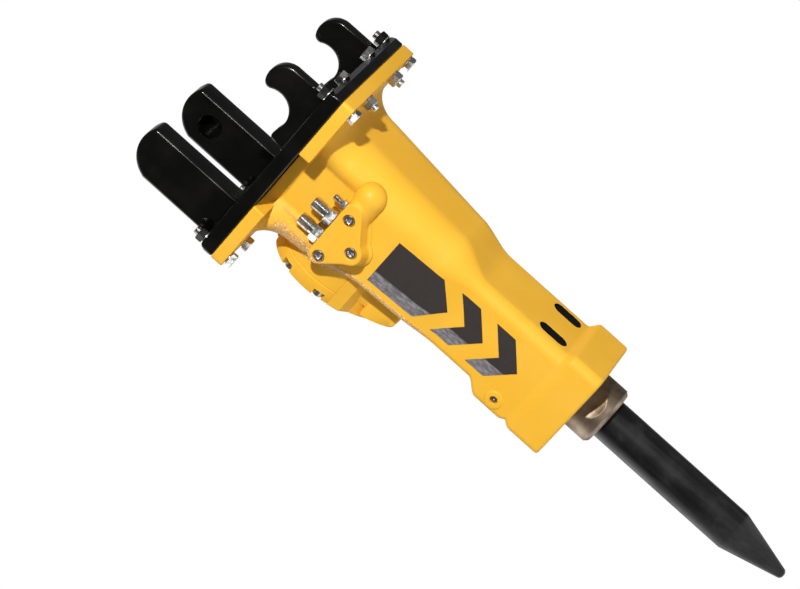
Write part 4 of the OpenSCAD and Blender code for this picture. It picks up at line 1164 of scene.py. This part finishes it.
def make_stickers(vinyl):
    """A pointed panel and two chevrons, all bare."""
    rear, front = STICKER_X - STICKER_HALF, STICKER_X + STICKER_HALF
    left = [(rear, PANEL_TOP), (rear, PANEL_SIDE), (STICKER_X, PANEL_POINT)]
    right = [(front, PANEL_TOP), (front, PANEL_SIDE), (STICKER_X + 0.05, PANEL_POINT)]
    sticker("panel_film", left, right, vinyl)
    for i, z in enumerate(CHEVRONS_Z):
        upper = [(rear, z), (STICKER_X, z - CHEVRON_DROP), (front, z)]
        lower = [(x, v - CHEVRON_H) for x, v in upper]
        sticker("chevron_film_%d" % (i + 1), upper, lower, vinyl)


# Finishes

class Wire:
    """A shader value. Operators on it add Math nodes; make() adds any other node."""

    def __init__(self, tree, socket):
        self.tree = tree
        self.socket = socket

    def math(self, operation, *others):
        """The result of a Math node on this value and the others."""
        return make(self.tree, "ShaderNodeMath", {"operation": operation}, dict(enumerate((self,) + others)))

    def __add__(self, other):
        return self.math("ADD", other)

    def __radd__(self, other):
        return self.math("ADD", other)

    def __sub__(self, other):
        return self.math("SUBTRACT", other)

    def __rsub__(self, other):
        return make(self.tree, "ShaderNodeMath", {"operation": "SUBTRACT"}, {0: other, 1: self})

    def __mul__(self, other):
        return self.math("MULTIPLY", other)

    def __truediv__(self, other):
        return self.math("DIVIDE", other)

    def part(self, name):
        """Another output of the same node."""
        return Wire(self.tree, self.socket.node.outputs[name])

    def step(self, low, high, start=0.0, end=1.0):
        """A smooth step from start to end as the value goes from low to high."""
        settings = {"interpolation_type": "SMOOTHSTEP", "clamp": True}
        values = {"Value": self, "From Min": low, "From Max": high, "To Min": start, "To Max": end}
        return make(self.tree, "ShaderNodeMapRange", settings, values)

    def band(self, low, full_low, full_high, high):
        """1 between the two middle values, by smooth steps from 0 at the outer two."""
        return self.step(low, full_low) * self.step(full_high, high, 1, 0)


def put(tree, socket, value):
    """Links a wire to a socket, or sets the socket to a plain value."""
    if isinstance(value, Wire):
        tree.links.new(value.socket, socket)
    else:
        socket.default_value = value


def make(tree, kind, settings=None, values=None, output=0):
    """Adds a node of a type, sets its settings, then its sockets from values or links."""
    node = tree.nodes.new(kind)
    for key, value in (settings or {}).items():
        setattr(node, key, value)
    for key, value in (values or {}).items():
        put(tree, node.inputs[key], value)
    return Wire(tree, node.outputs[output])


def noise(tree, where, scale, detail=3.0, rough=0.5):
    """Fractal noise between about 0.3 and 0.7, at a scale in waves per metre."""
    values = {"Vector": where, "Scale": scale, "Detail": detail, "Roughness": rough}
    return make(tree, "ShaderNodeTexNoise", values=values)


def stretched(tree, where, scale):
    """Object coordinates with each axis stretched by its own scale."""
    return make(tree, "ShaderNodeMapping", {"vector_type": "POINT"}, {"Vector": where, "Scale": scale})


def blend_colour(tree, share, first, second):
    """A colour between two, by a share; 0, 6 and 7 are the node's sockets for colours, 2 its result."""
    settings = {"data_type": "RGBA", "clamp_factor": True}
    return make(tree, "ShaderNodeMix", settings, {0: share, 6: first, 7: second}, 2)


def start_finish(name):
    """A new material: its node tree, object coordinates and principled shader."""
    material = bpy.data.materials.new(name)
    material.use_nodes = True
    tree = material.node_tree
    tree.nodes.clear()
    where = make(tree, "ShaderNodeTexCoord", output="Object")
    shader = tree.nodes.new("ShaderNodeBsdfPrincipled")
    out = tree.nodes.new("ShaderNodeOutputMaterial")
    tree.links.new(shader.outputs[0], out.inputs[0])
    return material, tree, where, shader


def feed(tree, shader, **inputs):
    """Sets or links the shader's sockets, named with underscores for spaces."""
    for key, value in inputs.items():
        put(tree, shader.inputs[key.replace("_", " ")], value)


def bump(tree, height, strength, distance):
    """A bump normal from a height."""
    values = {"Height": height, "Strength": strength, "Distance": distance}
    return make(tree, "ShaderNodeBump", values=values)


def place_of(tree, where):
    """Object coordinates as millimetres about the tool axis: x, y and z."""
    split = make(tree, "ShaderNodeSeparateXYZ", values={"Vector": where}, output="X")
    return [(split.part(axis) - float(AXIS[i])) * 1000.0 for i, axis in enumerate("XYZ")]


YELLOW = (0.845, 0.448, 0.032, 1)
# Deep brown-orange that paints shade onto the rear edges and the hose pocket's neck.
YELLOW_PAINTED_SHADE = (0.560, 0.235, 0.010, 1)
YELLOW_PALE = (0.855, 0.466, 0.041, 1)
# Near-white colour that paints highlight specks onto the gritty edges.
PAINTED_GLINT = (1.0, 0.92, 0.70, 1)
# Near black for the walls of the retainer slots.
SLOT_WALL_BLACK = (0.004, 0.0035, 0.003, 1)
BLACK = (0.0015, 0.0015, 0.0013, 1)
BLACK_WORN = (0.004, 0.0036, 0.003, 1)
DUST = (0.10, 0.095, 0.09, 1)
BAR_DARK = (0.005, 0.005, 0.0055, 1)
BAR_STREAK = (0.017, 0.0165, 0.017, 1)
BAR_RUB = (0.040, 0.037, 0.035, 1)
BUSH_PALE = (0.29, 0.228, 0.170, 1)
BUSH_BROWN = (0.13, 0.094, 0.060, 1)
BUSH_RING = (0.40, 0.35, 0.29, 1)
RUBBER_DARK = (0.014, 0.014, 0.014, 1)
RUBBER_BLOOM = (0.036, 0.035, 0.034, 1)
SILVER_DARK = (0.120, 0.108, 0.116, 1)
SILVER_PALE = (0.270, 0.255, 0.265, 1)
VINYL_DARK = (0.030, 0.023, 0.022, 1)
VINYL_GRAIN = (0.044, 0.034, 0.032, 1)
GROUND_PALE = (0.50, 0.49, 0.47, 1)
GROUND_DULL = (0.34, 0.32, 0.30, 1)
BLACKENED = (0.030, 0.030, 0.031, 1)
BLACKENED_DULL = (0.055, 0.052, 0.050, 1)
PLATE_PALE = (0.80, 0.79, 0.77, 1)
ZINC_DULL = (0.58, 0.56, 0.53, 1)
CHROME_DULL = (0.62, 0.60, 0.57, 1)
WHITE = (1, 1, 1, 1)
FLOOR_DARK = (0.88, 0.88, 0.88, 1)
FLOOR_PALE = (0.90, 0.90, 0.90, 1)


def grit_shade_and_glint_zones(x, y, z):
    """Zones of grit bump and rougher gloss, which also get painted shade and painted highlight specks: the
    rear edges and the hose pocket's neck.

    The rear edges are where x and y both come within about one corner radius of the section's corner.
    """
    corner = z.step(-REAR_RUN, FILLET_Z, REAR_R, NECK_REAR_R)
    behind = (x + z.step(-REAR_RUN, FILLET_Z, WAIST_REAR, NECK_REAR)) / corner
    beside = (z.step(SHOULDER_Z, FILLET_Z, SHOULDER_HALF, NECK_HALF) - y.math("ABSOLUTE")) / corner
    ridge = behind.band(-0.4, -0.2, 0.7, 1.35) * beside.step(0.7, 1.35, 1, 0) * z.band(-500, -420, -70, -40)
    neck = y.band(-POCKET_Y - 12, -POCKET_Y - 8, -POCKET_Y - 6, -POCKET_Y + 2)
    neck = neck * z.band(POCKET_Z - 8, POCKET_Z, -60, -34) * x.band(-POCKET_HALF - 4, -POCKET_HALF, -76, -68)
    return ridge, neck


def slot_walls(x, y, z):
    """Where the walls of the retainer slots are coloured near black: a box round each, in |y|, x and z."""
    wide, high = SLOT_W / 2 + 0.6, SLOT_H / 2 + 1.5
    walls = y.math("ABSOLUTE").band(SLOT_Y - wide - 0.6, SLOT_Y - wide, SLOT_Y + wide, SLOT_Y + wide + 0.6)
    walls = walls * x.band(20, 24, WAIST_FRONT - 0.9, WAIST_FRONT - 0.5)
    return walls * z.band(SLOT_Z - high - 1, SLOT_Z - high, SLOT_Z + high, SLOT_Z + high + 1)


def yellow_paint():
    """Satin paint over a casting: soft skin, gritty rear edges and hose pocket with painted shade and painted
    highlight specks, black slots.
    """
    material, tree, where, shader = start_finish("cast_yellow_paint")
    x, y, z = place_of(tree, where)
    broad = noise(tree, where, 9.0)
    peel = noise(tree, where, 260.0, 2.0)
    sand = noise(tree, where, 520.0, 3.0, 0.6)
    ridge, neck = grit_shade_and_glint_zones(x, y, z)
    # rough marks the gritty zones. It drives their bump and gloss, and also the painted shade below.
    rough = ridge.math("MAXIMUM", neck)
    slots = slot_walls(x, y, z)
    tone = blend_colour(tree, broad.step(0.35, 0.68), YELLOW, YELLOW_PALE)
    # Painted shade: the rear edges and the pocket's neck are darkened to deep brown-orange, mottled by the
    # grit noise.
    tone = blend_colour(tree, (sand.step(0.55, 0.42) * 0.5 + 0.4) * rough, tone, YELLOW_PAINTED_SHADE)
    # Painted highlight: pale specks along the rear edges and the pocket's neck stand in for glints of light
    # on the grit.
    painted_glint = (sand.step(0.565, 0.59) * ridge).math("MAXIMUM", sand.step(0.60, 0.63) * neck * 0.8)
    tone = blend_colour(tree, painted_glint, tone, PAINTED_GLINT)
    # The slot walls are coloured near black, much darker than the paint round them.
    tone = blend_colour(tree, slots, tone, SLOT_WALL_BLACK)
    relief = peel * 0.12 + broad * 0.35 + sand * rough * 3.0
    gloss = 0.47 + broad.step(0.3, 0.7, -0.04, 0.08) - rough * 0.20 + slots * 0.3
    feed(tree, shader, Base_Color=tone, Roughness=gloss, Normal=bump(tree, relief, 0.35, 0.0022),
         Coat_Weight=0.03, Coat_Roughness=0.25, Specular_IOR_Level=0.22)
    return material


def black_paint():
    """Semi-gloss black with faint dust and orange peel."""
    material, tree, where, shader = start_finish("bracket_black_paint")
    broad = noise(tree, where, 14.0, 4.0)
    peel = noise(tree, where, 210.0, 2.0)
    dust = noise(tree, where, 900.0, 2.0).step(0.60, 0.72)
    tone = blend_colour(tree, broad.step(0.4, 0.75), BLACK, BLACK_WORN)
    tone = blend_colour(tree, dust * 0.05, tone, DUST)
    gloss = 0.15 + broad.step(0.35, 0.7, 0.0, 0.12)
    feed(tree, shader, Base_Color=tone, Roughness=gloss, Normal=bump(tree, peel, 0.10, 0.002),
         Specular_IOR_Level=0.45)
    return material


def tool_steel():
    """Blackened bar: fine lengthwise streaks, turning marks and a few pale rubs."""
    material, tree, where, shader = start_finish("blackened_tool_steel")
    streak = noise(tree, stretched(tree, where, (60.0, 60.0, 2.5)), 1.0, 4.0, 0.6)
    turn_marks = noise(tree, stretched(tree, where, (3.0, 3.0, 900.0)), 1.0, 2.0)
    cloud = noise(tree, where, 16.0, 4.0)
    tone = blend_colour(tree, streak.step(0.38, 0.7), BAR_DARK, BAR_STREAK)
    tone = blend_colour(tree, cloud.step(0.58, 0.72) * 0.35, tone, BAR_RUB)
    gloss = 0.36 + cloud.step(0.35, 0.7, -0.05, 0.14)
    relief = turn_marks * 0.5 + streak * 0.4
    feed(tree, shader, Base_Color=tone, Roughness=gloss, Metallic=0.2, Specular_IOR_Level=0.32,
         Normal=bump(tree, relief, 0.16, 0.0008))
    return material


def bush_steel():
    """Turned bronze-grey collar with fine rings and brown handling marks."""
    material, tree, where, shader = start_finish("bush_satin_steel")
    rings = noise(tree, stretched(tree, where, (2.0, 2.0, 1400.0)), 1.0, 2.0)
    cloud = noise(tree, where, 22.0, 4.0)
    tone = blend_colour(tree, cloud.step(0.35, 0.7), BUSH_PALE, BUSH_BROWN)
    tone = blend_colour(tree, rings.step(0.45, 0.7) * 0.25, tone, BUSH_RING)
    gloss = 0.45 + cloud.step(0.3, 0.7, 0.0, 0.12)
    feed(tree, shader, Base_Color=tone, Roughness=gloss, Metallic=1.0, Normal=bump(tree, rings, 0.18, 0.0006))
    return material


def plated(name, pale, dull, rough, metallic=1.0):
    """A metal with cloudy plating, fine scratches and slightly uneven gloss."""
    material, tree, where, shader = start_finish(name)
    cloud = noise(tree, where, 70.0, 4.0)
    scratch = noise(tree, stretched(tree, where, (900.0, 120.0, 900.0)), 1.0, 2.0)
    tone = blend_colour(tree, cloud.step(0.38, 0.68), pale, dull)
    gloss = rough + cloud.step(0.3, 0.7, -0.04, 0.12) + scratch.step(0.5, 0.7, 0.0, 0.06)
    feed(tree, shader, Base_Color=tone, Roughness=gloss, Metallic=metallic,
         Normal=bump(tree, scratch, 0.08, 0.0004))
    return material


def rubber():
    """Moulded black rubber with a fine bloom."""
    material, tree, where, shader = start_finish("moulded_rubber")
    bloom = noise(tree, where, 120.0, 4.0)
    tone = blend_colour(tree, bloom.step(0.4, 0.7), RUBBER_DARK, RUBBER_BLOOM)
    gloss = 0.62 + bloom.step(0.3, 0.7, -0.06, 0.12)
    feed(tree, shader, Base_Color=tone, Roughness=gloss, Normal=bump(tree, bloom, 0.12, 0.0006))
    return material


def vinyl_film():
    """Dark printed vinyl whose rear band is a paler brushed silver."""
    material, tree, where, shader = start_finish("sticker_vinyl")
    x, _, z = place_of(tree, where)
    brush = noise(tree, stretched(tree, where, (240.0, 240.0, 60.0)), 1.0, 4.0, 0.7)
    grain = noise(tree, where, 700.0, 2.0)
    silver_band = (x + z * 0.02).step(-46.0, -50.0)
    silver = blend_colour(tree, brush.step(0.38, 0.66), SILVER_DARK, SILVER_PALE)
    dark = blend_colour(tree, grain.step(0.4, 0.7), VINYL_DARK, VINYL_GRAIN)
    tone = blend_colour(tree, silver_band, dark, silver)
    gloss = 0.42 - silver_band * 0.06 + brush.step(0.3, 0.7, 0.0, 0.08)
    feed(tree, shader, Base_Color=tone, Roughness=gloss, Normal=bump(tree, grain, 0.06, 0.0004))
    return material


# Studio

VIEW_TURN = math.radians(27)
VIEW_BACK = Vector((math.sin(VIEW_TURN), -math.cos(VIEW_TURN), 0))
VIEW_DISTANCE = 9.63
VIEW_AIM = Vector((-0.1845, -0.0451, -0.466))
VIEW_ROLL = (0.667, 0.745)
VIEW_WIDTH = math.radians(10.16)
FLOOR_DROP = 0.36
FLOOR_R = 3.0
FLOOR_FADE = 1.7
FLOOR_GLOW = 0.55
FLOOR_RINGS = (0.0, 0.25, 0.5, 1.0)
FLOOR_POINTS = 96
ROOM_GLOW = 0.27
WALL_GLOW = 0.45
REAR_PANEL_GLOW = 1.9
FRONT_PANEL_GLOW = 0.15
DIM_GLOW = 0.08

# Name, place in metres, watts, size in metres and whether reflections show it
LAMPS = (("key", (2.86, -3.84, 1.22), 282, 0.18, True),
         ("fill", (1.0, -3.0, -4.0), 25, 2.2, True),
         ("rear", (-4.2, 1.4, 1.4), 66, 1.6, False),
         ("far", (-0.4, 4.6, 1.4), 125, 1.6, False))


def make_camera():
    """A level camera turned to the hose side and front, rolled so that the tool points down right."""
    level = Vector((math.cos(VIEW_TURN), math.sin(VIEW_TURN), 0))
    up = Vector((0, 0, 1))
    right = level * VIEW_ROLL[0] - up * VIEW_ROLL[1]
    top = level * VIEW_ROLL[1] + up * VIEW_ROLL[0]
    data = bpy.data.cameras.new("view")
    data.sensor_fit = "HORIZONTAL"
    data.angle = VIEW_WIDTH
    camera = bpy.data.objects.new("view", data)
    turn = Matrix((right, top, VIEW_BACK)).transposed().to_4x4()
    camera.matrix_world = Matrix.Translation(VIEW_AIM + VIEW_BACK * VIEW_DISTANCE) @ turn
    bpy.context.scene.collection.objects.link(camera)
    bpy.context.scene.camera = camera


def make_lamp(name, place, power, size, mirrored):
    """A square soft lamp that faces the middle of the part; reflections may leave it out."""
    data = bpy.data.lights.new(name, "AREA")
    data.energy = power
    data.size = size
    lamp = bpy.data.objects.new(name, data)
    lamp.location = Vector(place)
    lamp.rotation_euler = (VIEW_AIM - Vector(place)).to_track_quat("-Z", "Y").to_euler()
    lamp.visible_glossy = mirrored
    bpy.context.scene.collection.objects.link(lamp)


def floor_disc():
    """A flat disc of rings under the part, facing up."""
    angle = np.linspace(0, 2 * math.pi, FLOOR_POINTS, endpoint=False)
    radius = np.array(FLOOR_RINGS)[:, None] * FLOOR_R
    x, y = radius * np.cos(angle), radius * np.sin(angle)
    points = np.stack([x, y, np.full_like(x, cad_box[0][2] - FLOOR_DROP)], axis=-1)
    mesh = bpy.data.meshes.new("floor")
    mesh.from_pydata(points.reshape(-1, 3).tolist(), [], grid_faces(len(FLOOR_RINGS), FLOOR_POINTS))
    clean(mesh)
    if mesh.polygons[0].normal.z < 0:
        mesh.flip_normals()
    return mesh


def pale_floor():
    """A white that keeps the shadow, glows when looked at, fades out at the rim and is open from below."""
    material, tree, where, shader = start_finish("pale_floor")
    grain = noise(tree, where, 40.0)
    tone = blend_colour(tree, grain.step(0.3, 0.7), FLOOR_DARK, FLOOR_PALE)
    feed(tree, shader, Base_Color=tone, Roughness=0.9)
    path = make(tree, "ShaderNodeLightPath", output="Is Camera Ray")
    shown = path.math("MAXIMUM", path.part("Is Glossy Ray")).math("MAXIMUM", path.part("Is Transmission Ray"))
    glow = make(tree, "ShaderNodeEmission", values={"Color": WHITE, "Strength": shown * FLOOR_GLOW})
    lit = make(tree, "ShaderNodeAddShader", values={0: Wire(tree, shader.outputs[0]), 1: glow})
    clear = make(tree, "ShaderNodeBsdfTransparent")
    out = make(tree, "ShaderNodeVectorMath", {"operation": "LENGTH"}, {0: where}, "Value")
    under = make(tree, "ShaderNodeNewGeometry", output="Backfacing")
    open_share = out.step(FLOOR_FADE, FLOOR_R).math("MAXIMUM", under)
    mixed = make(tree, "ShaderNodeMixShader", values={0: open_share, 1: lit, 2: clear})
    put(tree, tree.nodes["Material Output"].inputs[0], mixed)
    return material


def make_floor():
    """The floor, which belongs to the studio and not to the part."""
    mesh = floor_disc()
    floor = bpy.data.objects.new("floor", mesh)
    bpy.context.scene.collection.objects.link(floor)
    mesh.materials.append(pale_floor())


def facing(tree, looking, way):
    """How far a direction of view points along a way: their dot product."""
    return make(tree, "ShaderNodeVectorMath", {"operation": "DOT_PRODUCT"}, {0: looking, 1: way}, "Value")


def make_world():
    """White to the camera and an even dim light on the part.

    Reflections see a dark room instead, with a pale wall beyond the part, a bright panel to its rear and a
    faint one to its front.
    """
    world = bpy.data.worlds.new("studio")
    world.use_nodes = True
    bpy.context.scene.world = world
    tree = world.node_tree
    tree.nodes.clear()
    path = make(tree, "ShaderNodeLightPath", output="Is Camera Ray")
    mirror = path.part("Is Glossy Ray").math("MAXIMUM", path.part("Is Transmission Ray"))
    looking = make(tree, "ShaderNodeTexCoord", output="Generated")
    rearward = facing(tree, looking, (-1.0, 0.0, 0.0))
    wall = facing(tree, looking, tuple(VIEW_BACK)).step(-0.97, -0.70, WALL_GLOW, 0.0)
    rear_panel = rearward.step(0.78, 0.93, 0.0, REAR_PANEL_GLOW)
    front_panel = rearward.step(-0.93, -0.80, FRONT_PANEL_GLOW, 0.0)
    room = wall + rear_panel + front_panel + DIM_GLOW
    strength = ROOM_GLOW + mirror * (room - ROOM_GLOW)
    strength = strength + path * (1.0 - strength)
    shader = make(tree, "ShaderNodeBackground", values={"Color": WHITE, "Strength": strength})
    out = tree.nodes.new("ShaderNodeOutputWorld")
    put(tree, out.inputs[0], shader)


def make_studio():
    """Camera, floor, world and four lamps; the key stands to the front of the camera and above it."""
    make_camera()
    make_floor()
    make_world()
    for lamp in LAMPS:
        make_lamp(*lamp)
    bpy.context.scene.view_settings.view_transform = "Standard"


def dress_inner_nodes(finishes):
    """Gives every CAD node that still shows, and those inside, the finish of its record slot."""
    slots = {row["node"]: row["material_slot"] for row in frame["record"]["subparts"]}
    for node, obj in frame["nodes"].items():
        obj.data.materials.clear()
        obj.data.materials.append(finishes[slots[node]])


def build():
    """Makes all finishes and pieces in turn."""
    yellow, black = yellow_paint(), black_paint()
    tool, bush = tool_steel(), bush_steel()
    ground = plated("ground_steel", GROUND_PALE, GROUND_DULL, 0.30)
    dark = plated("blackened_steel", BLACKENED, BLACKENED_DULL, 0.42, 0.6)
    zinc = plated("zinc_plate", PLATE_PALE, ZINC_DULL, 0.20)
    chrome = plated("bright_plate", PLATE_PALE, CHROME_DULL, 0.13)
    dress_inner_nodes({"yellow_paint": yellow, "black_paint": black, "tool_steel": tool, "bush_steel": bush,
                       "machined_steel": ground, "dark_steel": dark, "zinc": zinc, "chrome": chrome,
                       "rubber": rubber()})
    make_body(yellow)
    make_flange(yellow)
    make_block(yellow)
    make_drum(yellow)
    make_lug(yellow)
    make_cover(yellow)
    make_plate(black)
    make_hooks(black)
    make_welds(black)
    make_flange_fasteners(zinc, black)
    make_socket_screws(zinc)
    make_plugs(ground)
    make_fittings(chrome)
    make_gas_valve(zinc, dark)
    make_tool(tool)
    make_bush(bush)
    make_pin_boss(yellow)
    make_lock_pin(ground)
    make_stickers(vinyl_film())


build()
make_studio()
